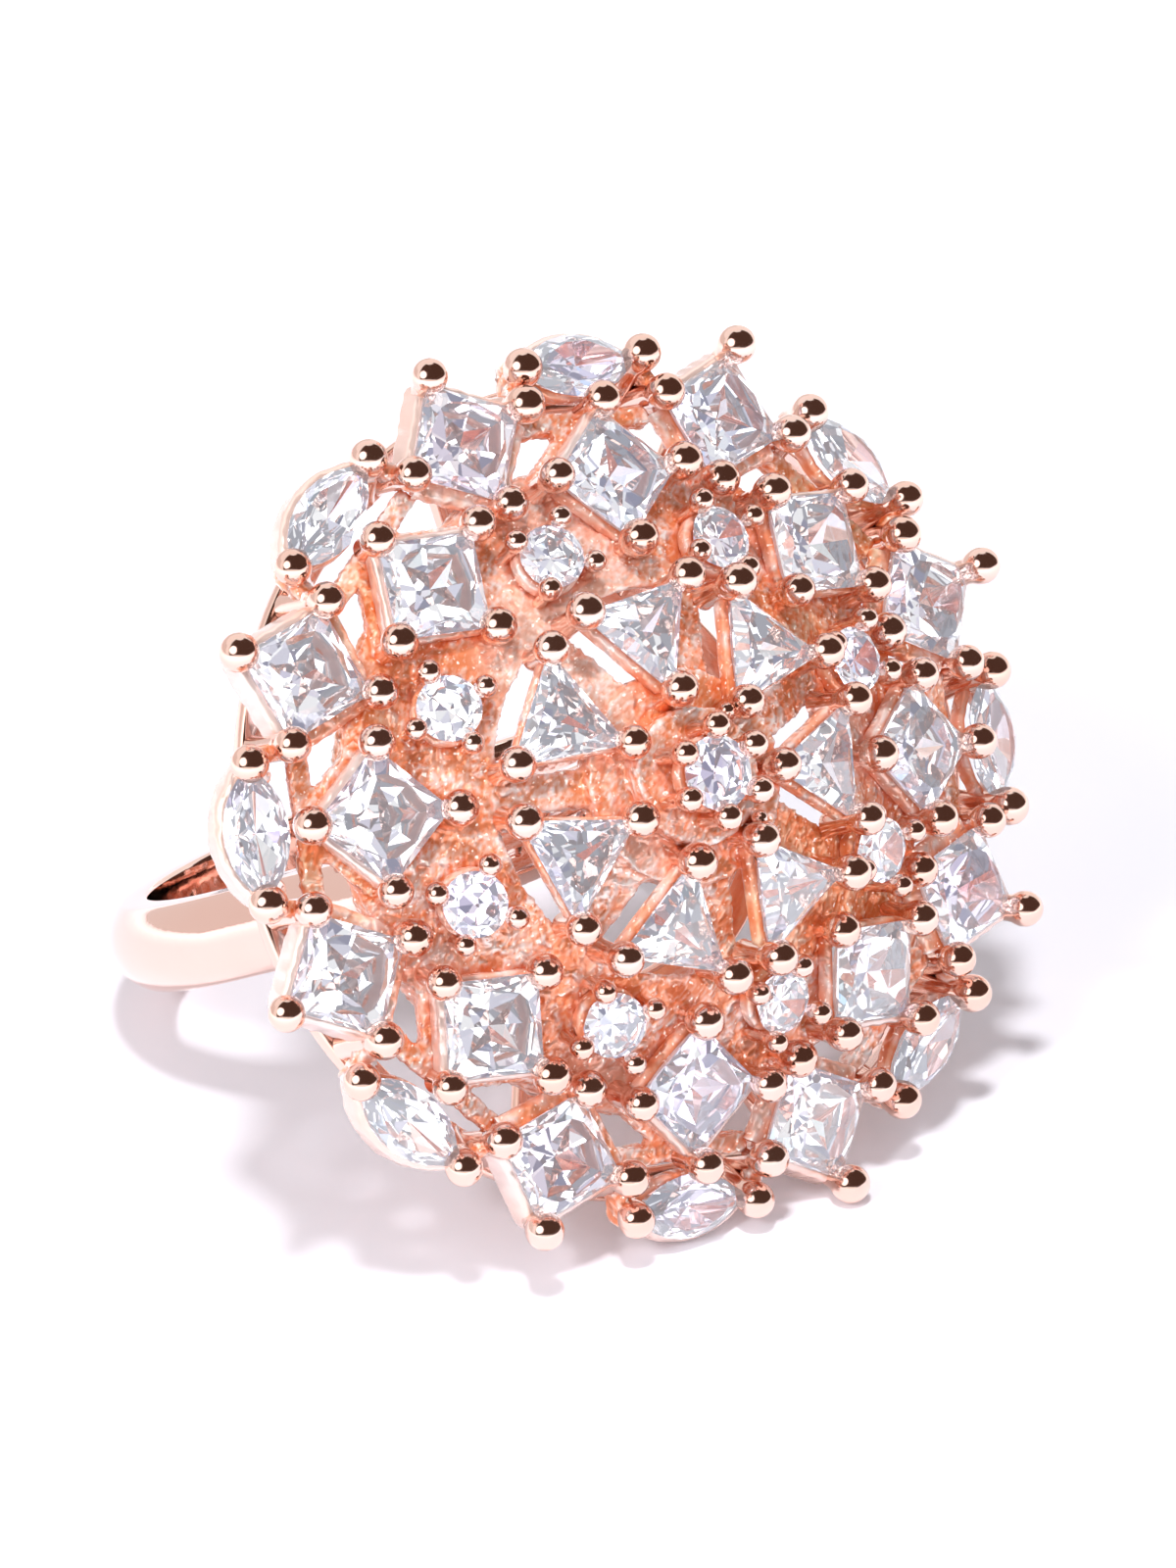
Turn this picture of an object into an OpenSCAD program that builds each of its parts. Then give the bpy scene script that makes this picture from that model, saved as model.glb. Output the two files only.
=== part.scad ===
// Domed cluster cocktail ring: forty clear stones in cast claw settings on an open
// dome, carried by a wire gallery and a half-round shank.
// Everything is modelled in the head's own frame (z along the head's axis, away from
// the finger, z = 0 through the outermost claw beads). At the end it is laid down as it
// rests, on its rim and on the back of its shank, with the finger hole's centre at the origin.
// Azimuths run clockwise about the head's axis, seen from outside, from the +y marquise.

/* [Shank] */
// Inside diameter of the finger hole
bore_d = 17.3; // [14.5:0.1:21.5]
// Width of the shank along the finger
shank_w = 2.8; // [2:0.1:4]
// Thickness of the shank at its crown
shank_t = 1.7; // [1.2:0.1:2.4]
// Thickness of the shank at its two edges
shank_edge_t = 0.9; // [0.6:0.1:1.2]
// Distance from the finger hole's centre to the outermost claw beads
head_rise = 15.5; // [14.5:0.1:17]
// Angle by which the head is turned on the shank
head_turn = 14; // [0:1:22]
// Distance of the shank's middle below the head's axis
head_offset = 0.8; // [0:0.1:1.5]
// Half distance between the outer faces of the two shoulders
shoulder_reach = 7.4; // [6.8:0.1:8]

/* [Stones] */
// Diameter of the centre stone
centre_stone_d = 2.25; // [2:0.05:2.4]
// Side of a triangular stone
triangle_side = 3.5; // [3.2:0.1:3.7]
// Diameter of a small round stone
round_stone_d = 2; // [1.7:0.05:2.2]
// Side of a square stone
square_side = 3; // [2.7:0.05:3.1]
// Length of a marquise stone
marquise_l = 4; // [3.6:0.1:4.2]
// Width of a marquise stone
marquise_w = 2; // [1.7:0.05:2.2]
// Thickness of every girdle
girdle_t = 0.08; // [0.04:0.01:0.12]
// Height of a large stone's table above its girdle
crown_h = 0.4; // [0.25:0.05:0.45]
// Height of a round stone's table above its girdle
round_crown_h = 0.28; // [0.2:0.02:0.3]

/* [Rows] */
// Radius of the triangle row
triangle_row_r = 4.67; // [4.5:0.05:4.9]
// Height of the triangle row's girdles
triangle_row_z = 3.12; // [2.9:0.05:3.4]
// Outward lean of the triangles
triangle_tilt = 12.5; // [8:0.5:16]
// Azimuth of the first triangle
triangle_phase = 40; // [30:1:50]
// Step in radius from the triangle row to the round row
round_step = 3.03; // [2.95:0.01:3.2]
// Height of the round row's girdles
round_row_z = 1.6; // [1.5:0.05:1.9]
// Outward lean of the rounds
round_tilt = 18; // [12:1:22]
// Step in radius from the round row to the inner square row
inner_step = 1.73; // [1.65:0.01:1.9]
// Height of the inner square row's girdles
inner_row_z = 0.87; // [0.75:0.05:1.1]
// Outward lean of the inner squares
inner_tilt = 15; // [12:0.5:18]
// Step in radius from the inner square row to the outer square row
outer_step = 2.34; // [2.3:0.01:2.6]
// Height of the outer square row's girdles
outer_row_z = -0.05; // [-0.2:0.05:0.1]
// Outward lean of the outer squares
outer_tilt = 10.5; // [8:0.5:14]
// Step in radius from the outer square row to the marquise row
marquise_step = 1.14; // [1.1:0.01:1.3]
// Height of the marquise row's girdles
marquise_row_z = -0.64; // [-0.8:0.05:-0.5]
// Outward lean of the marquises
marquise_tilt = 18; // [14:1:22]
// Height of the centre stone's girdle
centre_z = 4.65; // [4.4:0.05:4.9]

/* [Claws] */
// Diameter of a large claw bead
bead_d = 1.04; // [0.9:0.02:1.1]
// Diameter of a large claw's stem
claw_d = 0.72; // [0.6:0.02:0.8]
// Diameter of a small claw bead
small_bead_d = 0.66; // [0.56:0.02:0.72]
// Diameter of a small claw's stem
small_claw_d = 0.42; // [0.34:0.02:0.48]
// Height of a large bead's centre above the girdle
bead_lift = 0.45; // [0.4:0.01:0.5]
// Height of a small bead's centre above the girdle
small_bead_lift = 0.3; // [0.26:0.01:0.36]
// Distance of a large bead's centre outside the stone's corner
bead_reach = 0.12; // [0.08:0.01:0.18]
// Distance of a small bead's centre outside the stone's edge
small_bead_reach = 0.25; // [0.2:0.01:0.28]
// Width of the rail that ties a setting's claws together
rail_w = 0.3; // [0.26:0.02:0.36]
// Height of that rail
rail_h = 0.5; // [0.4:0.05:0.55]
// Depth of that rail's top below the girdle
rail_drop = 0.35; // [0.3:0.05:0.4]
// Distance that the skirt of a setting on the rim stands out past its stone
skirt_out = 0.2; // [0.1:0.02:0.34]
// Distance that an outer square's rail runs out under its two inner edges
band_out = 0.5; // [0.4:0.02:0.56]
// Height of that skirt
skirt_h = 1; // [0.7:0.05:1.1]
// Depth of that skirt's top below the girdle
skirt_drop = 0.12; // [0.08:0.01:0.2]

/* [Dome frame] */
// Radius of the hub plate
hub_r = 3.3; // [3.1:0.1:3.5]
// Height of the hub plate's top
hub_z = 2.7; // [2.5:0.05:2.75]
// Radius of the boss under the centre stone
boss_r = 2.1; // [1.8:0.05:2.15]
// Height of that boss above the hub plate
boss_h = 0.8; // [0.5:0.05:0.85]
// Thickness of the hub plate, the spokes and the web
frame_t = 0.8; // [0.6:0.05:0.9]
// Width of a spoke
spoke_w = 1.15; // [1:0.05:1.3]
// Distance of the web's inner edge outside the triangle row
web_in_step = 1.23; // [1.1:0.01:1.35]
// Height of the web's top at its inner edge
web_in_z = 1.5; // [1.4:0.05:1.55]
// Distance outside the round row at which the web's slope changes
web_mid_step = 0.5; // [0.3:0.01:0.7]
// Height of the web's top there
web_mid_z = 0.28; // [0.2:0.02:0.3]
// Distance of the web's outer edge outside the inner square row
web_out_step = 0.57; // [0.4:0.01:0.7]
// Height of the web's top at its outer edge
web_out_z = -0.45; // [-0.55:0.05:-0.4]
// Thickness of a wing, the plate that reaches out under an inner square to its outer claw
wing_t = 0.6; // [0.5:0.05:0.65]
// How far a wing reaches past that stone's outer corner
wing_out = 0.32; // [0.25:0.01:0.38]
// How far its sides run out past the stone's edges
wing_side = 0.45; // [0.35:0.01:0.55]
// Width of its two arms, which reach to the outer squares' side claws
wing_arm_w = 0.62; // [0.5:0.01:0.7]

/* [Gallery] */
// Distance of the base rail's middle outside the outer square row
base_step = 0.33; // [0.2:0.01:0.5]
// Width of the base rail
base_w = 1; // [0.9:0.05:1.1]
// Height of the base rail's top
base_z = -2.1; // [-2.3:0.05:-2]
// Thickness of the base rail
base_t = 0.6; // [0.5:0.05:0.8]
// Radius of the seat ring's middle
seat_r = 6.5; // [6.3:0.05:6.7]
// Width of the seat ring
seat_w = 1.2; // [1:0.05:1.4]
// Height of the seat ring's top
seat_z = -4.1; // [-4.3:0.05:-4]
// Thickness of the seat ring
seat_t = 0.8; // [0.7:0.05:0.9]
// Diameter of a gallery strut
strut_d = 0.9; // [0.7:0.05:1.1]

/* [Fits] */
// Gap between a stone and the notch in its claws
stone_gap = 0.03; // [0.02:0.01:0.05]
// Solder gap between one metal piece and the next
solder_gap = 0.03; // [0.02:0.01:0.05]

/* [Resting] */
// Roll of the head about its axis where it lies
rest_roll = 10.4; // [-14:0.1:14]

/* [Hidden] */
// Stones in each of the four rows that repeat around the head
row_count = 8;
// Triangular stones around the centre
triangle_count = 7;
// Claws around the centre stone
centre_claws = 6;

rose_gold = "#d99a80";
rough_gold = "#cf7f58";
clear = "#e8ecf4";
round_fn = 48;
far = 40;

// Radii of the rows and of what stands under them
round_row_r = triangle_row_r + round_step;
inner_row_r = round_row_r + inner_step;
outer_row_r = inner_row_r + outer_step;
marquise_row_r = outer_row_r + marquise_step;
web_in_r = triangle_row_r + web_in_step;
web_mid_r = round_row_r + web_mid_step;
web_out_r = inner_row_r + web_out_step;
base_in_r = outer_row_r + base_step - base_w / 2;
base_out_r = base_in_r + base_w;

row_step = 360 / row_count;
triangle_step = 360 / triangle_count;
function row_azimuth(i) = (i - 1) * row_step;
function mid_azimuth(i) = row_azimuth(i) + row_step / 2;
function triangle_azimuth(i) = triangle_phase + (i - 1) * triangle_step;

bore_r = bore_d / 2;
shank_r = bore_r + shank_t;
edge_r = bore_r + shank_edge_t;
bead_r = bead_d / 2;
small_bead_r = small_bead_d / 2;
square_corner = square_side / sqrt(2);
triangle_corner = triangle_side / sqrt(3);

// Depth of each pavilion as a share of the stone's width
square_pav = 0.53 * square_side;
round_pav = 0.43 * round_stone_d;
centre_pav = 0.43 * centre_stone_d;
triangle_pav = 0.35 * triangle_side;
marquise_pav = 0.38 * marquise_w;
// A rail's opening as a share of the stone that hangs in it
square_open = 0.85;
round_open = 0.78;
triangle_open = 0.83;
marquise_open = 0.7;
// Outward bow of a triangular stone's sides
triangle_bow = 0.03 * triangle_side;
// Depths of the claws' feet below the girdle, before they are trimmed to their seats
side_foot = 1.2;
round_foot = 1.3;
triangle_foot = 1.65;
// Where the outer row's claws meet the base rail: all at the middle of its width
foot_r = (base_in_r + base_out_r) / 2;
base_foot_z = base_z - base_t / 2;
// How far a marquise's feet stand in from its tips
tip_foot_inset = 0.25;
// Share of a corner claw's height at which it bends in towards the rail, and its lean above
elbow_share = 0.75;
elbow_lean = 0.45;
window_r = 0.38 * square_side;
// Depth of a wing's top below the girdle of the stone above it, and half its width at the
// stone's side claws and at its outer end
wing_drop = rail_drop + rail_h + 0.1;
wing_half = square_corner + bead_reach + claw_d / 2;
wing_end_half = square_corner + bead_reach + 2 * solder_gap;
// How far a wing runs in over the web
wing_root = 0.3;
// How deep a round rail's rim reaches into its claws
claw_bite = small_claw_d / 3;
// Depth of a window's cut, more than the web's thickness
window_cut = 5 * frame_t;
seat_bottom = seat_z - seat_t;
spoke_in_r = boss_r + 0.5;
spoke_out_r = web_in_r + 0.5;

// ---- how the ring lies: its rim and the back edge of its shank are level ----

// Point (x along the radius, y across, z up the stone's axis) of a leaning stone,
// in the plane of its azimuth
function lean(r, z, tilt, p) = [
    r + p[0] * cos(tilt) + p[2] * sin(tilt),
    p[1],
    z - p[0] * sin(tilt) + p[2] * cos(tilt)
];
outer_bead = lean(outer_row_r, outer_row_z, outer_tilt, [square_corner + bead_reach, 0, bead_lift]);
skirt_l = marquise_l + rail_w;
skirt_w = marquise_w + 2 * skirt_out;
marquise_edge = lean(marquise_row_r, marquise_row_z, marquise_tilt, [skirt_w / 2, 0, -skirt_drop]);
function lens_radius(l, w) = (l * l + w * w) / (4 * w);
marquise_arc_r = lens_radius(skirt_l, skirt_w);
function bead_low(t) = outer_bead[2] * sin(t) - bead_r
    - outer_bead[0] * cos(row_step / 2 - rest_roll) * cos(t);
function marquise_low(t) = marquise_edge[2] * sin(t)
    - (marquise_arc_r + (marquise_edge[0] - marquise_arc_r) * cos(rest_roll)) * cos(t);
function rim_low(t) = min(bead_low(t), marquise_low(t));
function shank_low(t) = -head_rise * sin(t)
    - edge_r * sqrt(pow(cos(t) * sin(head_turn - rest_roll), 2) + pow(sin(t), 2))
    - (shank_w / 2 + head_offset) * cos(t) * cos(head_turn - rest_roll);
function level(lo, hi, n) = n == 0 ? (lo + hi) / 2
    : shank_low((lo + hi) / 2) > rim_low((lo + hi) / 2) ? level((lo + hi) / 2, hi, n - 1)
    : level(lo, (lo + hi) / 2, n - 1);
least_tilt = 5;
most_tilt = 45;
rest_tilt = level(least_tilt, most_tilt, 20);

module lay() {
    rotate([90 - rest_tilt, 0, 0])
        rotate([0, 0, -rest_roll])
        translate([-head_offset * sin(head_turn), head_offset * cos(head_turn), head_rise])
        children();
}

// Turns the plane of an azimuth, whose radius is drawn along x, to its place
module at_azimuth(a) {
    rotate([0, 0, 90 - a]) children();
}

// Puts a stone or a setting, drawn around its girdle's centre, in its row
module at_seat(a, r, z, tilt) {
    at_azimuth(a) translate([r, 0, z]) rotate([0, tilt, 0]) children();
}

// The finger's frame: y along the finger, z away from it, centred in the hole
module on_finger() {
    rotate([0, 0, head_turn]) translate([0, -head_offset, -head_rise]) children();
}

// ---- stones ----

function round_outline(d, n) = [for (i = [0:n - 1]) d / 2 * [cos(360 * i / n), sin(360 * i / n)]];
// A square with corners on the axes and a point halfway along each side
function square_outline(side) = [for (i = [0:7])
    (i % 2 == 0 ? side / sqrt(2) : side / 2) * [cos(45 * i), sin(45 * i)]];
// A triangle with one corner towards the head's axis and sides that bow outwards
function triangle_outline(side, bow, n) = [for (k = [0:2]) for (i = [0:n - 1])
    let (a = side / sqrt(3) * [cos(180 + 120 * k), sin(180 + 120 * k)],
         b = side / sqrt(3) * [cos(300 + 120 * k), sin(300 + 120 * k)],
         out = [cos(240 + 120 * k), sin(240 + 120 * k)],
         s = i / n)
    a + (b - a) * s + out * bow * 4 * s * (1 - s)];
// Two arcs that meet in points at both ends of y
function marquise_outline(l, w, n) = let (r = lens_radius(l, w), half = asin(l / 2 / r)) [
    for (side = [1, -1]) for (i = [0:n - 1]) let (a = half * (2 * i / n - 1))
    side * [r * cos(a) - r + w / 2, r * sin(a)]];

// A cut stone: table, crown, girdle, a pavilion in two steps and a point below
module gem(outline, crown, pav, table = 0.62) {
    n = len(outline);
    steps = [[table, crown], [1, girdle_t / 2], [1, -girdle_t / 2], [0.58, -pav / 2]];
    points = concat(
        [for (s = steps) for (p = outline) [p[0] * s[0], p[1] * s[0], s[1]]],
        [[0, 0, -pav]]);
    last = len(steps) - 1;
    faces = concat(
        [[for (i = [0:n - 1]) n - 1 - i]],
        [for (k = [0:last - 1]) for (i = [0:n - 1]) let (j = (i + 1) % n)
            [k * n + i, k * n + j, (k + 1) * n + j, (k + 1) * n + i]],
        [for (i = [0:n - 1]) let (j = (i + 1) % n) [last * n + i, last * n + j, len(points) - 1]]);
    color(clear) polyhedron(points, faces);
}

square_gem_outline = square_outline(square_side);
triangle_gem_outline = triangle_outline(triangle_side, triangle_bow, 4);
marquise_gem_outline = marquise_outline(marquise_l, marquise_w, 8);

module centre_stone() {
    translate([0, 0, centre_z]) gem(round_outline(centre_stone_d, 16), round_crown_h, centre_pav);
}
module triangle_stone(i) {
    at_seat(triangle_azimuth(i), triangle_row_r, triangle_row_z, triangle_tilt)
        gem(triangle_gem_outline, crown_h, triangle_pav);
}
module round_stone(i) {
    at_seat(mid_azimuth(i), round_row_r, round_row_z, round_tilt)
        gem(round_outline(round_stone_d, 16), round_crown_h, round_pav);
}
module inner_square_stone(i) {
    at_seat(row_azimuth(i), inner_row_r, inner_row_z, inner_tilt)
        gem(square_gem_outline, crown_h, square_pav);
}
module outer_square_stone(i) {
    at_seat(mid_azimuth(i), outer_row_r, outer_row_z, outer_tilt)
        gem(square_gem_outline, crown_h, square_pav);
}
module marquise_stone(i) {
    at_seat(row_azimuth(i), marquise_row_r, marquise_row_z, marquise_tilt)
        gem(marquise_gem_outline, crown_h, marquise_pav);
}

// ---- settings ----

// A straight bar between two points
module bar(a, b, d) {
    v = b - a;
    translate(a) rotate([0, acos(v[2] / norm(v)), atan2(v[1], v[0])])
        cylinder(h = norm(v), d = d, $fn = round_fn);
}
module ball(p, d) {
    translate(p) sphere(d = d, $fn = round_fn);
}
// A claw that stands square to the girdle: a stem with a bead on it
module claw(x, y, lift, foot) {
    bar([x, y, -foot], [x, y, lift], claw_d);
    ball([x, y, lift], bead_d);
}
module small_claw(a, r, foot) {
    x = r * cos(a);
    y = r * sin(a);
    bar([x, y, -foot], [x, y, small_bead_lift], small_claw_d);
    ball([x, y, small_bead_lift], small_bead_d);
}
// The room that a stone takes in its claws: straight up from under its girdle
module notch(outline, width, crown) {
    depth = 0.3;
    translate([0, 0, -depth])
        linear_extrude(height = depth + crown + stone_gap)
        polygon(outline * (1 + 2 * stone_gap / width));
}
// Lays a rail's outline at its depth below the girdle
module rail() {
    translate([0, 0, -rail_drop - rail_h]) linear_extrude(height = rail_h) children();
}
module square_rail() {
    open = square_open * square_side;
    rail() rotate(45) difference() {
        square(open + 2 * rail_w, center = true);
        square(open, center = true);
    }
}
// The wide part of an outer square's rail, under its two inner edges
module square_band() {
    half = square_side / 2 + band_out;
    rail() intersection() {
        rotate(45) difference() {
            square(2 * half, center = true);
            square(square_open * square_side, center = true);
        }
        translate([-4 * half - rail_w, -2 * half]) square(4 * half);
    }
}
// The skirt along the two outer sides of a square on the rim
module square_skirt() {
    half = square_side / 2 + skirt_out;
    translate([0, 0, -skirt_drop - skirt_h]) linear_extrude(height = skirt_h) intersection() {
        rotate(45) difference() {
            square(2 * half, center = true);
            square(square_open * square_side, center = true);
        }
        translate([0, -2 * half]) square(4 * half);
    }
}
module round_rail(d) {
    rail() difference() {
        circle(r = d / 2 + small_bead_reach - small_claw_d / 2 + claw_bite, $fn = round_fn);
        circle(d = round_open * d, $fn = round_fn);
    }
}
module triangle_rail() {
    open = triangle_open * triangle_corner;
    rail() rotate(180) difference() {
        circle(r = open + 2 * rail_w, $fn = 3);
        circle(r = open, $fn = 3);
    }
}
module lens(l, w) {
    r = lens_radius(l, w);
    intersection() {
        translate([w / 2 - r, 0]) circle(r = r, $fn = 4 * round_fn);
        translate([r - w / 2, 0]) circle(r = r, $fn = 4 * round_fn);
    }
}
module marquise_rail() {
    open_w = marquise_open * marquise_w;
    open_l = marquise_open * marquise_l;
    rail() difference() {
        lens(skirt_l, open_w + 2 * rail_w);
        lens(open_l, open_w);
    }
}
// The boat-shaped skirt along a marquise's outer side
module marquise_skirt() {
    translate([0, 0, -skirt_drop - skirt_h]) linear_extrude(height = skirt_h) intersection() {
        difference() {
            lens(skirt_l, skirt_w);
            lens(marquise_open * marquise_l, marquise_open * marquise_w);
        }
        translate([0, -skirt_l]) square(2 * skirt_l);
    }
}
// Everything below the base rail's top
module base_room() {
    translate([-far, -far, base_z + solder_gap - far]) cube([2 * far, 2 * far, far]);
}

module centre_setting() {
    claw_ring = centre_stone_d / 2 + small_bead_reach;
    color(rose_gold) difference() {
        translate([0, 0, centre_z]) {
            difference() {
                union() {
                    for (i = [1:centre_claws])
                        small_claw(360 / centre_claws * (i - 0.5), claw_ring, centre_z - hub_z - boss_h);
                    round_rail(centre_stone_d);
                }
                notch(round_outline(centre_stone_d, 16), centre_stone_d, round_crown_h);
            }
        }
        frame_room(solder_gap);
    }
}
module triangle_settings() {
    reach = triangle_corner + bead_reach;
    color(rose_gold) difference() {
        for (i = [1:triangle_count])
            at_seat(triangle_azimuth(i), triangle_row_r, triangle_row_z, triangle_tilt)
            difference() {
                union() {
                    triangle_rail();
                    claw(-reach, 0, bead_lift, triangle_foot);
                    for (side = [-60, 60])
                        claw(reach * cos(side), reach * sin(side), bead_lift, triangle_foot);
                }
                notch(triangle_gem_outline, triangle_side / sqrt(3), crown_h);
            }
        frame_room(solder_gap);
    }
}
module round_settings() {
    color(rose_gold) difference() {
        for (i = [1:row_count])
            at_seat(mid_azimuth(i), round_row_r, round_row_z, round_tilt)
            difference() {
                union() {
                    round_rail(round_stone_d);
                    for (a = [45:90:315])
                        small_claw(a, round_stone_d / 2 + small_bead_reach, round_foot);
                }
                notch(round_outline(round_stone_d, 16), round_stone_d, round_crown_h);
            }
        frame_room(solder_gap);
    }
}
module inner_square_settings() {
    reach = square_corner + bead_reach;
    color(rose_gold) difference() {
        for (i = [1:row_count])
            at_seat(row_azimuth(i), inner_row_r, inner_row_z, inner_tilt)
            difference() {
                union() {
                    square_rail();
                    claw(-reach, 0, bead_lift, rail_drop + rail_h);
                    claw(reach, 0, bead_lift, wing_drop - solder_gap);
                    for (s = [1, -1]) claw(0, s * reach, bead_lift, side_foot);
                }
                notch(square_gem_outline, square_side, crown_h);
            }
        frame_room(solder_gap);
    }
}
// Inner claw square to the stone; the other three run down to the base rail, and the
// corner one bends in under the stone
module outer_square_settings() {
    reach = square_corner + bead_reach;
    side = lean(outer_row_r, outer_row_z, outer_tilt, [0, reach, bead_lift]);
    foot_x = sqrt(pow(foot_r, 2) - pow(reach, 2));
    elbow = [outer_bead[0] - elbow_lean, 0, outer_bead[2] + elbow_share * (base_z - outer_bead[2])];
    color(rose_gold) difference() {
        for (i = [1:row_count]) {
            difference() {
                union() {
                    at_seat(mid_azimuth(i), outer_row_r, outer_row_z, outer_tilt) {
                        square_rail();
                        square_band();
                        square_skirt();
                        claw(-reach, 0, bead_lift, rail_drop + rail_h);
                    }
                    at_azimuth(mid_azimuth(i)) {
                        bar([foot_r, 0, base_foot_z], elbow, claw_d);
                        ball(elbow, claw_d);
                        bar(elbow, outer_bead, claw_d);
                        ball(outer_bead, bead_d);
                        for (s = [1, -1]) {
                            bar([foot_x, s * reach, base_foot_z], [side[0], s * side[1], side[2]], claw_d);
                            ball([side[0], s * side[1], side[2]], bead_d);
                        }
                    }
                }
                at_seat(mid_azimuth(i), outer_row_r, outer_row_z, outer_tilt)
                    notch(square_gem_outline, square_side, crown_h);
            }
        }
        frame_room(solder_gap);
        base_room();
    }
}
module marquise_settings() {
    reach = marquise_l / 2 + bead_reach;
    tip = lean(marquise_row_r, marquise_row_z, marquise_tilt, [0, reach, bead_lift]);
    foot_y = marquise_l / 2 - tip_foot_inset;
    foot_x = sqrt(pow(foot_r, 2) - pow(foot_y, 2));
    color(rose_gold) difference() {
        for (i = [1:row_count]) {
            difference() {
                union() {
                    at_seat(row_azimuth(i), marquise_row_r, marquise_row_z, marquise_tilt) {
                        marquise_rail();
                        marquise_skirt();
                    }
                    at_azimuth(row_azimuth(i)) for (s = [1, -1]) {
                        bar([foot_x, s * foot_y, base_foot_z], [tip[0], s * tip[1], tip[2]], claw_d);
                        ball([tip[0], s * tip[1], tip[2]], bead_d);
                    }
                }
                at_seat(row_azimuth(i), marquise_row_r, marquise_row_z, marquise_tilt)
                    notch(marquise_gem_outline, marquise_w, crown_h);
            }
        }
        base_room();
    }
}

// ---- dome frame ----

web_top = [[web_in_r, web_in_z], [web_mid_r, web_mid_z], [web_out_r, web_out_z]];
web_slope = (web_in_z - web_mid_z) / (web_mid_r - web_in_r);
spoke_out_z = web_in_z - web_slope * (spoke_out_r - web_in_r);

// One spoke, its top running straight from the hub to the web
module spoke(grow) {
    run = spoke_out_r - spoke_in_r;
    fall = hub_z - spoke_out_z;
    translate([spoke_in_r, 0, hub_z])
        rotate([0, atan2(fall, run), 0])
        translate([0, -spoke_w / 2 - grow, -frame_t])
        cube([norm([run, fall]), spoke_w + 2 * grow, frame_t + grow]);
}
module spokes(grow) {
    for (i = [1:triangle_count])
        at_azimuth(triangle_azimuth(i) + triangle_step / 2) spoke(grow);
}
// The plates that spread from the web under the outer half of each inner square
module wings(grow) {
    end = square_corner + wing_out;
    edge = square_corner + wing_side * sqrt(2);
    for (i = [1:row_count])
        at_seat(row_azimuth(i), inner_row_r, inner_row_z, inner_tilt)
        translate([0, 0, -wing_drop - wing_t - grow])
        linear_extrude(height = wing_t + 2 * grow)
        offset(delta = grow)
        for (s = [1, -1]) polygon([
            [-wing_root, 0], [-wing_root, s * wing_half], [edge - wing_half, s * wing_half],
            [end - wing_arm_w, s * (edge - end + wing_arm_w)],
            [end - wing_arm_w, s * wing_end_half], [end, s * wing_end_half], [end, 0]
        ]);
}
// The room that the frame takes from whatever stands on it
module frame_room(grow) {
    spokes(grow);
    wings(grow);
    cylinder(r = hub_r + grow, h = hub_z + grow, $fn = round_fn);
    cylinder(r = boss_r + grow, h = hub_z + boss_h + grow, $fn = round_fn);
    rotate_extrude($fn = 2 * round_fn) polygon(concat(
        [for (p = web_top) [p[0] + (p[0] == web_out_r ? grow : p[0] == web_in_r ? -grow : 0), p[1] + grow]],
        [[web_out_r + grow, -far], [web_in_r - grow, -far]]));
}
module dome_frame() {
    color(rough_gold) difference() {
        union() {
            translate([0, 0, hub_z - frame_t]) {
                cylinder(r = hub_r, h = frame_t, $fn = round_fn);
                cylinder(r = boss_r, h = frame_t + boss_h, $fn = round_fn);
            }
            spokes(0);
            wings(0);
            rotate_extrude($fn = 2 * round_fn) polygon(concat(
                web_top, [for (k = [2:-1:0]) web_top[k] - [0, frame_t]]));
        }
        for (i = [1:row_count])
            at_seat(row_azimuth(i), inner_row_r, inner_row_z, inner_tilt)
            translate([0, 0, -window_cut]) cylinder(r = window_r, h = window_cut, $fn = round_fn);
    }
}

// ---- gallery and shank ----

module flat_ring(in_r, out_r, top, t) {
    translate([0, 0, top - t]) difference() {
        cylinder(r = out_r, h = t, $fn = 2 * round_fn);
        translate([0, 0, -1]) cylinder(r = in_r, h = t + 2, $fn = 2 * round_fn);
    }
}
module base_rail() {
    color(rose_gold) flat_ring(base_in_r, base_out_r, base_z, base_t);
}
module seat_ring() {
    color(rose_gold) flat_ring(seat_r - seat_w / 2, seat_r + seat_w / 2, seat_z, seat_t);
}
module gallery_struts() {
    top = base_z - base_t - solder_gap;
    foot = seat_z + solder_gap;
    color(rose_gold) intersection() {
        for (i = [1:row_count]) at_azimuth(mid_azimuth(i))
            bar([seat_r, 0, seat_z - seat_t / 2], [foot_r, 0, base_foot_z], strut_d);
        translate([-far, -far, foot]) cube([2 * far, 2 * far, top - foot]);
    }
}

// The shank's half-round section, drawn at its radius
module shank_section() {
    rise = shank_t - shank_edge_t;
    crown_r = (pow(shank_w / 2, 2) + rise * rise) / (2 * rise);
    intersection() {
        translate([bore_r, -shank_w / 2]) square([shank_t, shank_w]);
        translate([shank_r - crown_r, 0]) circle(r = crown_r, $fn = round_fn);
    }
}
// One shoulder: the same section, running straight on from the shank's circle along
// the tangent that meets the seat ring at the shoulder's reach
module shoulder() {
    top = head_rise + seat_bottom - solder_gap;
    reach = norm([shoulder_reach, top]);
    touch = atan2(top, shoulder_reach) - acos(shank_r / reach);
    intersection() {
        rotate([0, -touch, 0]) linear_extrude(height = reach) shank_section();
        translate([0, -shank_w, 0]) cube([far, 2 * shank_w, top]);
    }
}
module shank() {
    color(rose_gold) on_finger() {
        rotate([90, 0, 0]) rotate_extrude($fn = 2 * round_fn) shank_section();
        for (s = [0, 180]) rotate([0, 0, s]) shoulder();
    }
}

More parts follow.
